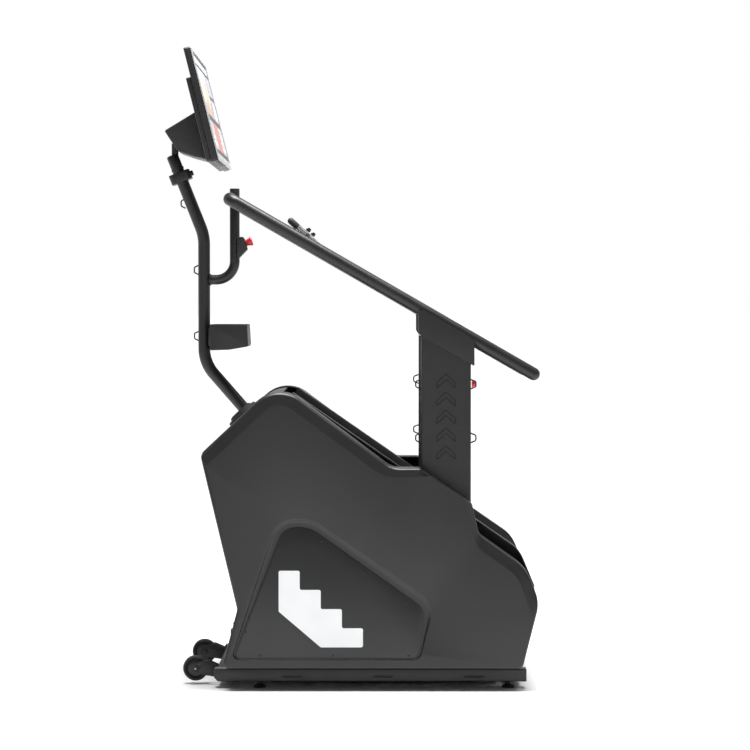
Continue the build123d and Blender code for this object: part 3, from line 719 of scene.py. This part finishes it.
# Wire loops on the mast and uprights.

loops = {"half": 16, "reach": 17, "mastReach": 13, "thick": 2.3, "upright": (815, 990), "sink": 2,
         "mast": [(-511, 1143), (-511, 1365), (-555, 1588)], "corner": 7, "taper": 0.55}


def buildLoop(x, y, z, way, reach):
    half, corner = loops["half"], loops["corner"]
    near, far = x - way * loops["sink"], x + way * reach
    route = openPath([(near, z + half), (far, z + half * loops["taper"], corner),
                      (far, z - half * loops["taper"], corner), (near, z - half)], 5)
    return tube([(u, y, v) for u, v in route], loops["thick"], (0, 1, 0), 12)


wires = [buildLoop(x, 0, z, -1, loops["mastReach"]) for x, z in loops["mast"]]
low, high = span("upright_left")
for side in (-1, 1):
    for z in loops["upright"]:
        y = side * (low.y + high.y) / 2
        wires += [buildLoop(low.x, y, z, -1, loops["reach"]), buildLoop(high.x, y, z, 1, loops["reach"])]
finishPiece(joined(wires), "wireLoops", "grooveBlack", "frame", ["wire_loops"], 50)
print("wire loops made")


# Steps.

stair = {
    "slope": 34.7,
    "lowerShaft": (398, 298),
    "spacing": 745,
    "chainRadius": 120,
    "count": 8,
    "halfWidth": 232.5,
    "backOffset": 57,
    "backAlong": 140,
    "thickness": 24,
    "riser": 5,
    "riserGap": 20,
    "ribs": 13,
    "ribDepth": 1.8,
    "noseRadius": 5,
    "noseStrip": 26,
    "bodies": ["upper_drive", "front_steps", "front_steps", "front_steps", "lower_drive", "return_steps",
               "return_steps", "return_steps"],
}
slope = math.radians(stair["slope"])
pitch = (2 * stair["spacing"] + math.tau * stair["chainRadius"]) / stair["count"]
treadBack = -stair["backAlong"] * math.cos(slope) - stair["backOffset"] * math.sin(slope)
treadTop = stair["backAlong"] * math.sin(slope) - stair["backOffset"] * math.cos(slope)
treadNose = treadBack + pitch * math.cos(slope)
riserFoot = treadTop - pitch * math.sin(slope) + stair["riserGap"]


def turnAbout(x, z, angle):  # a point of the side view turned about the machine's width
    return x * math.cos(angle) + z * math.sin(angle), z * math.cos(angle) - x * math.sin(angle)


def stepPlace(index):  # the chain pin of a step, and the step's turn
    lowerX, lowerZ = stair["lowerShaft"]
    upperX = lowerX - stair["spacing"] * math.cos(slope)
    upperZ = lowerZ + stair["spacing"] * math.sin(slope)
    along = (index % 4) * pitch - math.pi * stair["chainRadius"] / 2
    centreX, centreZ, back = (upperX, upperZ, 0) if index < 4 else (lowerX, lowerZ, math.pi)
    turn = back - math.pi / 2 if index % 4 == 0 else back
    outX, outZ = turnAbout(math.sin(slope), math.cos(slope), turn)
    pinX, pinZ = centreX + outX * stair["chainRadius"], centreZ + outZ * stair["chainRadius"]
    if index % 4:
        wayX, wayZ = turnAbout(math.cos(slope), -math.sin(slope), turn)
        pinX, pinZ = pinX + wayX * along, pinZ + wayZ * along
    return pinX, pinZ, turn


def treadOutline():  # ribbed top, rounded nose, riser below the nose and open underside
    nose, top, deep = treadNose, treadTop, stair["ribDepth"]
    points = [(treadBack + 4, top - stair["thickness"]), (treadBack + 1, top - 5), (treadBack + 2, top - 1.2)]
    first, last = treadBack + 6, nose - stair["noseStrip"]
    pace = (last - first) / stair["ribs"]
    for rib in range(stair["ribs"]):
        left = first + rib * pace
        points += [(left, top), (left + pace * 0.62, top), (left + pace * 0.70, top - deep),
                   (left + pace * 0.92, top - deep)]
    points += [(last, top)]
    radius = stair["noseRadius"]
    for step in range(7):
        angle = math.pi / 2 - step * math.pi / 12
        points.append((nose - radius + radius * math.cos(angle), top - radius + radius * math.sin(angle)))
    points += [(nose, riserFoot + 1.5), (nose - 1.5, riserFoot), (nose - stair["riser"], riserFoot),
               (nose - stair["riser"], top - stair["thickness"] + 3),
               (nose - stair["riser"] - 3, top - stair["thickness"])]
    return points


def buildStep():
    half = stair["halfWidth"]
    tread = sideSlab(treadOutline(), -half, half)
    edit(tread)
    pick("FACE", lambda at, way: abs(way.y) > 0.9)
    bpy.ops.mesh.inset(thickness=0.8, depth=0.5)
    leave()
    top = treadTop - stair["thickness"]
    parts = [tread]
    for side in (-1, 1):  # web plate, chain pin with its washer, and two bolts
        face = side * 232
        web = [(-60, treadTop - 22, 3), (55, treadTop - 22, 3), (16, -14, 10), (-16, -14, 10)]
        parts.append(softenEdges(sideSlab(roundOff(web, 4), face - side * 6, face), 0.6, 1, 60))
        pin = [(0, 0), (8, 0), (8, 27), (7, 28), (0, 28)]
        parts.append(lathe(pin, (0, face - side * 28, 0), (0, side, 0), 20))
        parts.append(lathe([(8, 0), (13, 0), (13, 2.2), (8, 2.2)], (0, face - side * 8.5, 0), (0, side, 0), 24))
        for x in (-36, 32):
            parts.append(lathe([(0, 0), (6, 0), (6, 3), (4.5, 4), (0, 4)],
                               (x, face - side * 6.2, treadTop - 34), (0, -side, 0), 6))
    for rib in (-130, -45, 45, 130):  # stiffening ribs under the tread
        outline = [(treadBack + 12, top + 1), (treadNose - 8, top + 1), (treadNose - 8, top - 14),
                   (treadNose - 30, top - 16), (treadBack + 30, top - 10), (treadBack + 12, top - 4)]
        parts.append(sideSlab(outline, rib - 2, rib + 2))
    step = joined(parts)
    step.data.materials.append(materials["stepAlloy"])
    edgeLine = treadNose - stair["noseStrip"] + 1
    paintFaces(step, "gripPad", lambda at, way: way.z > 0.9 and abs(at.z - treadTop) < 0.3 and at.x < edgeLine
               and abs(at.y) < 240)
    noseFoot = treadTop - stair["noseRadius"] - 0.4
    paintFaces(step, "nosingGrey", lambda at, way: at.x > edgeLine and at.z > noseFoot and way.z > 0.05)
    return step


pattern = buildStep()
for index, body in enumerate(stair["bodies"]):
    step = duplicate(pattern)
    pinX, pinZ, turn = stepPlace(index)
    step.data.transform(Matrix.Translation((pinX, 0, pinZ)) @ Matrix.Rotation(turn, 4, "Y"))
    finishPiece(step, "step" + str(index + 1), "stepAlloy", body, ["step_" + str(index + 1)], 30)
bpy.data.objects.remove(pattern)
print("steps made")


# Console.

console = {
    "foot": (-417, 0, 1718),
    "tilt": 14.1,
    "width": 650,
    "height": 378,
    "depth": 27,
    "bezel": 12,
    "bezelFront": 6,
    "corner": 8,
    "backLow": 4,
    "backHigh": 282,
    "backDepth": 43,
    "glassDepth": 2.5,
}
tilt = math.radians(console["tilt"])
# tiles of the picture: left, bottom, width, height as shares of the glass, and finish
tiles = [(0.03, 0.90, 0.94, 0.055, "screenHeader"), (0.03, 0.40, 0.60, 0.46, "screenSky"),
         (0.03, 0.40, 0.60, 0.17, "screenGround"), (0.10, 0.52, 0.16, 0.20, "screenWarm"),
         (0.36, 0.50, 0.20, 0.26, "screenWarm"), (0.66, 0.66, 0.31, 0.20, "screenTile"),
         (0.66, 0.40, 0.31, 0.22, "screenTile"), (0.03, 0.06, 0.29, 0.28, "screenTile"),
         (0.35, 0.06, 0.29, 0.28, "screenAccent"), (0.67, 0.06, 0.30, 0.28, "screenTile")]
# bars of the charts, and lines of the text rows, the same way
tileBars = [(0.70 + 0.05 * bar, 0.43, 0.035, up) for bar, up in enumerate((0.06, 0.10, 0.14, 0.11, 0.16))]
tileBars += [(0.70, 0.10 + 0.06 * row, wide, 0.03) for row, wide in enumerate((0.24, 0.18, 0.21))]
tileBars += [(0.06, 0.10 + 0.06 * row, wide, 0.03) for row, wide in enumerate((0.20, 0.14))]


def consolePoint(across, up, depth):  # from the console's own width, height and depth
    x, y, z = console["foot"]
    return (x + depth * math.cos(tilt) - up * math.sin(tilt), y + across,
            z + depth * math.sin(tilt) + up * math.cos(tilt))


def consoleSlab(outline, back, front):
    push = Vector(consolePoint(0, 0, front)) - Vector(consolePoint(0, 0, back))
    return slab([consolePoint(u, v, back) for u, v, *rest in outline], push)


def frameOutline(left, low, right, high, radius, steps=5):
    corners = [(left, low, radius), (right, low, radius), (right, high, radius), (left, high, radius)]
    return roundOff(corners, steps)


def buildConsole():
    half, tall, rim = console["width"] / 2, console["height"], console["bezel"]
    deep, face, rear = console["depth"], console["bezelFront"], console["backDepth"]
    body = consoleSlab(frameOutline(-half, 0, half, tall, console["corner"]), -deep,
                       -face)
    softenEdges(body, 2, 2, 50)
    back = consoleSlab(frameOutline(-half + 4, console["backLow"], half - 4, console["backHigh"], 6),
                       -rear, -deep + 1)
    softenEdges(back, 3, 2, 50)
    for index in range(14):  # cooling slots across the back
        u = -130 + index * 20
        cutAway(back, consoleSlab(frameOutline(u - 4, 222, u + 4, 262, 3.9, 3), -rear - 4,
                                  -rear + 2.5))
    seam = consoleSlab(frameOutline(-half + 7, 7, half - 7, tall - 7, 5), -face - 1,
                       -face + 1)
    bezel = consoleSlab(frameOutline(-half, 0, half, tall, console["corner"]), -face + 0.8, 0)
    softenEdges(bezel, 1.5, 2, 50)
    cutAway(bezel, consoleSlab(frameOutline(-half + rim, rim + 10, half - rim, tall - rim, 2), -20, 5))
    glass = consoleSlab(frameOutline(-half + rim - 2, rim + 8, half - rim + 2, tall - rim + 2, 2),
                        -face, -console["glassDepth"])
    return body, joined([back, seam]), bezel, glass


def buildTiles():
    half, rim = console["width"] / 2 - console["bezel"], console["bezel"]
    low, wide = rim + 10, 2 * half
    tall = console["height"] - rim - low
    pieces = []
    for layer, (left, bottom, across, up, finish) in enumerate(tiles):
        lift = 0.10 + 0.02 * layer
        outline = frameOutline(-half + left * wide, low + bottom * tall, -half + (left + across) * wide,
                               low + (bottom + up) * tall, 3, 3)
        tile = consoleSlab(outline, -console["glassDepth"] - 0.1, -console["glassDepth"] + lift)
        tile.data.materials.append(materials[finish])
        pieces.append(tile)
    for left, bottom, across, up in tileBars:
        outline = frameOutline(-half + left * wide, low + bottom * tall, -half + (left + across) * wide,
                               low + (bottom + up) * tall, 1, 2)
        bar = consoleSlab(outline, -console["glassDepth"] - 0.1, -console["glassDepth"] + 0.4)
        bar.data.materials.append(materials["screenHeader"])
        pieces.append(bar)
    return joined(pieces)


housing, rearBox, bezel, glass = buildConsole()
finishPiece(housing, "consoleHousing", "blackPlastic", "frame", ["console_housing"])
finishPiece(rearBox, "consoleRearBox", "blackPlastic", "frame")
finishPiece(bezel, "consoleBezel", "silverPlastic", "frame")
finishPiece(glass, "consoleGlass", "screenDark", "frame", ["console_screen"])
finishPiece(buildTiles(), "consolePicture", "screenTile", "frame")


def buildMount():  # wedge behind the console, with a shadow gap beside the rear box
    low, high = span("console_mount")
    corners = [(-43.5, 190, 3), (-166, 152, 6), (-140, 77, 10), (-98, 50, 10), (-43.5, 20, 3)]
    outline = [consolePoint(0, up, depth) for depth, up, *rest in roundOff(corners, 5)]
    wedge = slab([(x, low.y, z) for x, y, z in outline], (0, high.y - low.y, 0))
    softenEdges(wedge, 4, 3, 40)
    flange = [consolePoint(0, up, depth) for depth, up, *rest in
              roundOff([(-43.2, 196, 2), (-50, 194, 2), (-50, 15, 2), (-43.2, 13, 2)], 2)]
    plate = slab([(x, low.y - 4, z) for x, y, z in flange], (0, high.y - low.y + 8, 0))
    return joined([wedge, softenEdges(plate, 1, 1, 50)])


finishPiece(buildMount(), "consoleMount", "blackPlastic", "frame", ["console_mount"])
print("console made")


# Mast fittings.

mast = {"boot": (-358, 0, 876), "bootWay": (-0.684, 0, 0.7295), "top": (-577.3, 1697), "lean": 21.7,
        "collarWide": 62, "collarDeep": 72, "collarTall": 34, "radius": 20, "postFoot": (-588, 0, 1731),
        "rivet": (-491, 19.9, 1250)}


def buildBoot():  # a stepped rubber dome round the mast's foot
    profile = [(58, 0), (58, 7), (57, 10), (54, 12.5), (50, 13.5), (48.5, 12), (46.5, 12), (45, 14), (43, 18),
               (38, 21.5), (32, 23), (27, 22.5), (24, 20), (22.6, 14), (22.6, 0)]
    return lathe(profile, mast["boot"], mast["bootWay"], 56)


def buildCollar():
    lean = math.radians(mast["lean"])
    x, z = mast["top"]
    up = Vector((-math.sin(lean), 0, math.cos(lean)))
    fore = Vector((math.cos(lean), 0, math.sin(lean)))
    low = Vector((x, 0, z)) - up * 40
    half = mast["collarDeep"] / 2
    outline = frameOutline(-half, -mast["collarWide"] / 2, half, mast["collarWide"] / 2, 14, 6)
    ring = slab([low + fore * u + Vector((0, 1, 0)) * v for u, v, *rest in outline], up * mast["collarTall"])
    softenEdges(ring, 2.5, 3, 40)
    cutAway(ring, rod(mast["radius"] + 0.4, low - up * 10, low + up * 60, 40))
    sleeve = lathe([(20, 0), (20, 52), (18.5, 55), (15, 56.5), (0, 56.5), (0, 0)], (x, 0, z), up, 40)
    profile = [(20.9, 0), (21.6, 0.8), (21.6, 6), (20.9, 7), (20, 7), (20, 0)]
    band = lathe(profile, Vector((x, 0, z)) + up * 3, up, 40)
    tall = span("upper_post")[1].z - mast["postFoot"][2] - 1
    post = lathe([(0, 0), (11.5, 0), (11.5, tall), (0, tall)], mast["postFoot"], (0, 0, 1), 28)
    knobSpot = low + fore * (half + 0.5) + up * 17
    bolt = lathe([(0, -3), (9, -3), (9, 5), (8, 7.5), (5, 8.5), (0, 8.5)], knobSpot, fore, 28)
    return joined([ring, sleeve, band, post, bolt])


finishPiece(buildBoot(), "mastBoot", "rubber", "frame", ["mast_boot"], 40)
finishPiece(buildCollar(), "upperPost", "framePaint", "frame", ["upper_post"])
x, y, z = mast["rivet"]
dots = [lathe([(0, 0.9), (2.6, 0.7), (3.8, 0), (3.8, -1.5), (0, -1.5)], (x, side * y, z), (0, side, 0), 20)
        for side in (-1, 1)]
finishPiece(joined(dots), "mastRivets", "grooveBlack", "frame")


# Buttons.

stopButton = {"face": (-351, 0, 1455), "way": (0.949, 0, 0.316)}
knob = lathe([(0, -11), (10.4, -11), (10.4, 5), (11.2, 6.5), (13.0, 13), (15.2, 19), (15.4, 20.6), (14.8, 21.9),
              (12.5, 22.9), (7, 23.4), (0, 23.6)], stopButton["face"], stopButton["way"], 40)
finishPiece(knob, "stopButton", "redPlastic", "stop_button", ["stop_button"], 40)


def buildStopHousing():
    low, high = span("stop_housing")
    corners = [(-380, 1476, 3), (-358, 1476, 5), (-344, 1434, 5), (-372, 1405, 4), (-380, 1405, 3)]
    shape = sideSlab(roundOff(corners, 5), low.y, high.y)
    softenEdges(shape, 3, 3, 40)
    cutAway(shape, rod(16.9, (-388, 0, 1390), (-388, 0, 1490), 36))
    face, way = Vector(stopButton["face"]), Vector(stopButton["way"])
    cutAway(shape, rod(10.8, face - way * 16, face + way * 30, 36))
    ring = lathe([(10.9, -1), (14.5, -1), (14.5, 0.8), (13.6, 1.6), (11.6, 1.6), (10.9, 1)], face, way, 36)
    return joined([shape, ring])


finishPiece(buildStopHousing(), "stopHousing", "blackPlastic", "frame", ["stop_housing"])
low, high = span("call_button")
dome = lathe([(0, 0), (13, 0), (13, 2), (12.3, 5.4), (10.2, 8.8), (6.5, 11.2), (0, 12)],
             (low.x, (low.y + high.y) / 2, (low.z + high.z) / 2), (1, 0, 0), 36)
finishPiece(dome, "callButton", "redPlastic", "call_button", ["call_button"], 40)
print("mast fittings and buttons made")


# Wheels and feet.

def buildWheel(node, body, name):
    low, high = span(node)
    centre = (low + high) / 2
    radius = (high.z - low.z) / 2
    half = (high.y - low.y) / 2
    tyre = lathe([(31, -half + 3), (33, -half + 1), (36, -half), (39, -half + 0.8), (radius - 0.8, -half + 3.4),
                  (radius, -half + 6.5), (radius, -3), (radius - 1.4, -2.2), (radius - 1.4, 2.2), (radius, 3),
                  (radius, half - 6.5), (radius - 0.8, half - 3.4), (39, half - 0.8), (36, half),
                  (33, half - 1), (31, half - 3), (31, -half + 3)], centre, (0, 1, 0), 56)
    hub = lathe([(6.05, -half), (13, -half), (14.5, -half + 1.2), (15.5, -half + 5), (27, -half + 6.5),
                 (29, -half + 4), (31, -half + 3), (31, half - 3), (29, half - 4), (27, half - 6.5),
                 (15.5, half - 5), (14.5, half - 1.2), (13, half), (6.05, half), (6.05, -half)],
                centre, (0, 1, 0), 56)
    for index in range(5):  # lightening pockets between the spokes
        angle = math.tau * index / 5 + 0.3
        spot = centre + Vector((math.cos(angle), 0, math.sin(angle))) * 21
        for side in (-1, 1):
            out, deep = Vector((0, side * (half + 2), 0)), Vector((0, side * 5, 0))
            cutAway(hub, rod(4.2, spot + out, spot + deep, 20))
    wheel = joined([tyre, hub])
    wheel.data.materials.append(materials["tyre"])
    paintFaces(wheel, "blackPlastic", lambda at, way: (at - centre).xz.length < 30.9)
    finishPiece(wheel, name, "tyre", body, [node], 30)


buildWheel("wheel_left", "wheel_left", "wheelLeft")
buildWheel("wheel_right", "wheel_right", "wheelRight")


axle = {"x": -506, "z": 52}


def buildBolts():  # a domed bolt head over each end of the wheel axles
    heads = []
    low, high = span("wheel_axles")
    for y, way in ((low.y, -1), (high.y, 1)):
        profile = [(0, 0.4), (2.4, 0.2), (3.4, -0.8), (3.4, -3), (0, -3)]
        heads.append(lathe(profile, (axle["x"], y, axle["z"]), (0, way, 0), 28))
    return joined(heads)


finishPiece(buildBolts(), "wheelBoltHeads", "bareSteel", "frame")


def buildFoot(end, side):  # rubber pad, threaded stem and lock nut
    node = "foot_" + end + "_" + side
    low, high = span(node)
    x, y = (low.x + high.x) / 2, (low.y + high.y) / 2
    radius = (high.x - low.x) / 2
    pad = lathe([(0, 0), (radius - 1.5, 0), (radius, 1.5), (radius, 5), (radius - 1, 6.5), (radius - 4, 8),
                 (11, 10), (8.5, 12.5), (0, 12.5)], (x, y, low.z), (0, 0, 1), 44)
    profile, z = [(0, 10), (5.3, 10)], 12.0
    while z < high.z - low.z - 2:  # thread, as stacked rings
        profile += [(5.9, z), (5.3, z + 0.8)]
        z += 1.6
    profile += [(5.3, high.z - low.z), (0, high.z - low.z)]
    stem = lathe(profile, (x, y, low.z), (0, 0, 1), 24)
    profile = [(6, 0), (10.4, 0), (10.9, 0.8), (10.9, 5), (10.4, 5.8), (6, 5.8)]
    nut = lathe(profile, (x, y, low.z + 13.4), (0, 0, 1), 6)
    foot = joined([pad, stem, nut])
    foot.data.materials.append(materials["rubber"])
    paintFaces(foot, "blackZinc", lambda at, way: at.z > low.z + 9.9)
    finishPiece(foot, "foot" + end.title() + side.title(), "rubber", node, [node], 30)


for end in ("front", "rear"):
    for side in ("left", "right"):
        buildFoot(end, side)
print("wheels and feet made")


# Hand grips.

grip = {"low": (-82, 1421.8), "high": (-190, 1521), "y": 268, "radius": 11, "rootRadius": 9, "rootLong": 20}


def buildGrip():
    start, end = [Vector((x, -grip["y"], z)) for x, z in (grip["low"], grip["high"])]
    way = (end - start).normalized()
    long = (end - start).length
    r = grip["radius"]
    profile = [(0, -r), (r * 0.6, -r * 0.8), (r * 0.9, -r * 0.45), (r, 0), (r, long * 0.18),
               (r - 0.9, long * 0.20), (r - 0.9, long * 0.80), (r, long * 0.82), (r, long - 2),
               (r * 0.92, long + r * 0.35), (r * 0.62, long + r * 0.72), (0, long + r * 0.95)]
    body = lathe(profile, start, way, 36)
    root = rod(grip["rootRadius"], start, start - Vector((0, grip["rootLong"], 0)), 28)
    return joined([body, root]), start, way, long


def buildContact(start, way, long):  # the steel plates that the palm closes on
    r = grip["radius"]
    plates = []
    for low, high in ((0.215, 0.46), (0.54, 0.785)):
        plates.append(lathe([(r - 1, long * low), (r + 0.1, long * low + 0.6), (r + 0.1, long * high - 0.6),
                             (r - 1, long * high)], start, way, 36))
    return joined(plates)


leftGrip, start, way, long = buildGrip()
leftContact = buildContact(start, way, long)
finishPiece(bothSides(leftGrip), "handGrips", "gripPad", "frame", ["hand_grips"], 35)
finishPiece(bothSides(leftContact), "gripContacts", "bareSteel", "frame")
print("grips made")


# Tray.

tray = {
    "corners": [(-466, 1183, 3), (-342, 1183, 3), (-338, 1109, 8), (-402, 1098, 60), (-466, 1096, 5)],
    "wells": (-52, 52), "wellFront": -460, "wellRear": -348, "wellHalf": 44, "wellTop": 1195, "wellDeep": 85,
    "bracket": ((-476, -25, 1110), (-460, 25, 1170)),
    "mast": ((-491, 0, 1080), (-491, 0, 1200)),
}


def buildTray():
    low, high = span("tray")
    body = softenEdges(sideSlab(roundOff(tray["corners"], 6), low.y, high.y), 3, 3, 40)
    for y in tray["wells"]:
        near, far = y - tray["wellHalf"], y + tray["wellHalf"]
        well = frameOutline(tray["wellFront"], near, tray["wellRear"], far, 12, 6)
        cutAway(body, slab([(u, v, tray["wellTop"]) for u, v, *rest in well], (0, 0, -tray["wellDeep"])))
    bracket = softenEdges(block(*tray["bracket"]), 3, 2, 40)
    return cutAway(joined([body, bracket]), rod(mast["radius"] + 0.2, *tray["mast"], 40))


finishPiece(buildTray(), "bottleTray", "blackPlastic", "frame", ["tray"], 35)
print("tray made")


# Base rails.

base = {"corners": [(-428, 22, 4), (578, 22, 4), (578, 64, 4), (-440, 64, 4), (-440, 36, 6)], "edge": 3,
        "slots": (-187, 110, 408), "slotLow": 35, "slotHigh": 43, "slotHalf": 33, "slotDepth": 3, "stem": 6.4}


def buildBaseRail():
    low = span("base_rails")[0]
    rail = softenEdges(sideSlab(roundOff(base["corners"], 4), low.y + 50, low.y), base["edge"], 3, 40)
    for x in base["slots"]:
        left, right = x - base["slotHalf"], x + base["slotHalf"]
        shape = frameOutline(left, base["slotLow"], right, base["slotHigh"], 3.9, 5)
        cutAway(rail, sideSlab(shape, low.y - 3, low.y + base["slotDepth"]))
    for node in ("foot_front_left", "foot_rear_left"):
        foot = sum(span(node), Vector()) / 2
        cutAway(rail, rod(base["stem"], (foot.x, foot.y, 10), (foot.x, foot.y, 62), 28))
    rail.data.materials.append(materials["framePaint"])
    # the faces inside the sunk slots get the near-black finish: painted shade in the slots
    paintFaces(rail, "grooveBlack", lambda at, way: low.y + 0.1 < at.y < low.y + base["slotDepth"] + 0.2
               and base["slotLow"] - 0.5 < at.z < base["slotHigh"] + 0.5
               and min(abs(at.x - x) for x in base["slots"]) < base["slotHalf"] + 1)
    return rail


finishPiece(bothSides(buildBaseRail()), "baseRails", "framePaint", "frame", ["base_rails"])
print("base rails made")


# Frame members, covers and castings: merged copies of their nodes, with softened edges.

def copyNode(node, width, steps=2):
    piece = duplicate(frame["nodes"][node])
    piece.parent = None
    del piece["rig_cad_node"], piece["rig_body"]
    piece.data.materials.clear()
    piece.data.transform(Matrix.Scale(1000, 4))
    edit(piece)
    bpy.ops.mesh.select_all(action="SELECT")
    bpy.ops.mesh.remove_doubles(threshold=0.01)
    bpy.ops.mesh.dissolve_limited(angle_limit=math.radians(0.6))
    leave()
    return softenEdges(piece, width, steps, 35)


# node: name, finish, slot and edge width
copies = {
    "wheel_brackets": ("wheelBrackets", "framePaint", "frame_paint", 1.5),
    "front_cover": ("frontCover", "blackPlastic", "black_plastic", 1.5),
    "rear_cover": ("rearCover", "blackPlastic", "black_plastic", 1.5),
    "inner_skirts": ("innerSkirts", "blackPlastic", "black_plastic", 1.2),
    "power_inlet": ("powerInlet", "blackPlastic", "black_plastic", 0.4),
    "brake_unit": ("brakeUnit", "blackPlastic", "black_plastic", 1.0),
}
for node, (name, finish, slot, width) in copies.items():
    finishPiece(copyNode(node, width), name, finish, "frame", [node], 34)
for side in ("left", "right"):
    body = "thumb_toggle_" + side
    piece = copyNode(body, 0.8)
    finishPiece(piece, "thumbToggle" + side.title(), "blackPlastic", body, [body], 34)
print("covers made")


# Finishes of the nodes that stay as they are.

nodeFinishes = {
    "framePaint": ["side_frames"],
    "grooveBlack": ["crossmembers"],
    "blackPlastic": ["power_switch", "drive_pulley"],
    "bareSteel": ["upper_shaft", "lower_shaft", "brake_pulley"],
    "blackZinc": ["wheel_axles"],
    "zincPlate": ["shaft_bearings"],
    "chainSteel": ["upper_sprockets", "lower_sprockets", "step_chains"],
    "rubber": ["drive_belt"],
}
for finish, names in nodeFinishes.items():
    for name in names:
        slots = frame["nodes"][name].data.materials
        slots.clear()
        slots.append(materials[finish])
print("nodes finished")


# Floor, light and camera.

def buildStage():
    clearSelection()
    bpy.ops.mesh.primitive_plane_add(size=600, location=(0, 0, cadBox[0][2]))
    floor = bpy.context.object
    floor.name = "studioFloor"
    paper = bpy.data.materials.new("studioPaper")
    paper.use_nodes = True
    shader = paper.node_tree.nodes["Principled BSDF"]
    shader.inputs["Base Color"].default_value = (0.93, 0.93, 0.93, 1)
    shader.inputs["Roughness"].default_value = 0.55
    shader.inputs["Specular IOR Level"].default_value = 0.2
    floor.data.materials.append(paper)
    world = bpy.data.worlds.new("studioWorld")
    world.use_nodes = True
    tree = world.node_tree
    sky = tree.nodes["Background"]  # the light that comes from all round
    sky.inputs["Color"].default_value = (1, 1, 1, 1)
    place = tree.nodes.new("ShaderNodeTexCoord")
    axes = tree.nodes.new("ShaderNodeSeparateXYZ")
    bright = addRange(tree, -0.15, 0.75, 0.14, 0.80)  # a bright wall behind, a dim room in front
    tree.links.new(place.outputs["Generated"], axes.inputs["Vector"])
    tree.links.new(axes.outputs["Y"], bright.inputs["Value"])
    tree.links.new(bright.outputs["Result"], sky.inputs["Strength"])
    backdrop = tree.nodes.new("ShaderNodeBackground")  # the white seen behind
    backdrop.inputs["Color"].default_value = (1, 1, 1, 1)
    backdrop.inputs["Strength"].default_value = 1.0
    path = tree.nodes.new("ShaderNodeLightPath")
    mix = tree.nodes.new("ShaderNodeMixShader")
    tree.links.new(path.outputs["Is Camera Ray"], mix.inputs["Fac"])
    tree.links.new(sky.outputs["Background"], mix.inputs[1])
    tree.links.new(backdrop.outputs["Background"], mix.inputs[2])
    tree.links.new(mix.outputs["Shader"], tree.nodes["World Output"].inputs["Surface"])
    bpy.context.scene.world = world


def addLight(name, kind, energy, place, aim, size):
    data = bpy.data.lights.new(name, kind)
    data.energy = energy
    if kind == "SUN":
        data.angle = size
    else:
        data.shape = "RECTANGLE"
        data.size, data.size_y = size
    light = bpy.data.objects.new(name, data)
    light.location = place
    light.rotation_euler = (Vector(aim) - Vector(place)).to_track_quat("-Z", "Y").to_euler()
    light.visible_camera = False
    bpy.context.scene.collection.objects.link(light)


def buildCamera():
    data = bpy.data.cameras.new("camera")
    data.lens = 124.1
    data.sensor_width = 36
    camera = bpy.data.objects.new("camera", data)
    camera.location = (0.117, -8.70, 1.247)
    camera.rotation_euler = (math.radians(88.45), 0, math.radians(0.22))
    bpy.context.scene.collection.objects.link(camera)
    bpy.context.scene.camera = camera


buildStage()
addLight("overhead", "SUN", 2.9, (0.2, 0.3, 6), (0, 0, 0), math.radians(35))
addLight("topSoftbox", "AREA", 210, (0.1, -0.5, 4.4), (0, 0, 0.8), (2.8, 0.8))
addLight("frontSoftbox", "AREA", 8, (0.0, -7.5, 1.6), (0, 0, 0.9), (3.0, 2.2))
bpy.context.scene.view_settings.view_transform = "Standard"
buildCamera()
print("stage set")
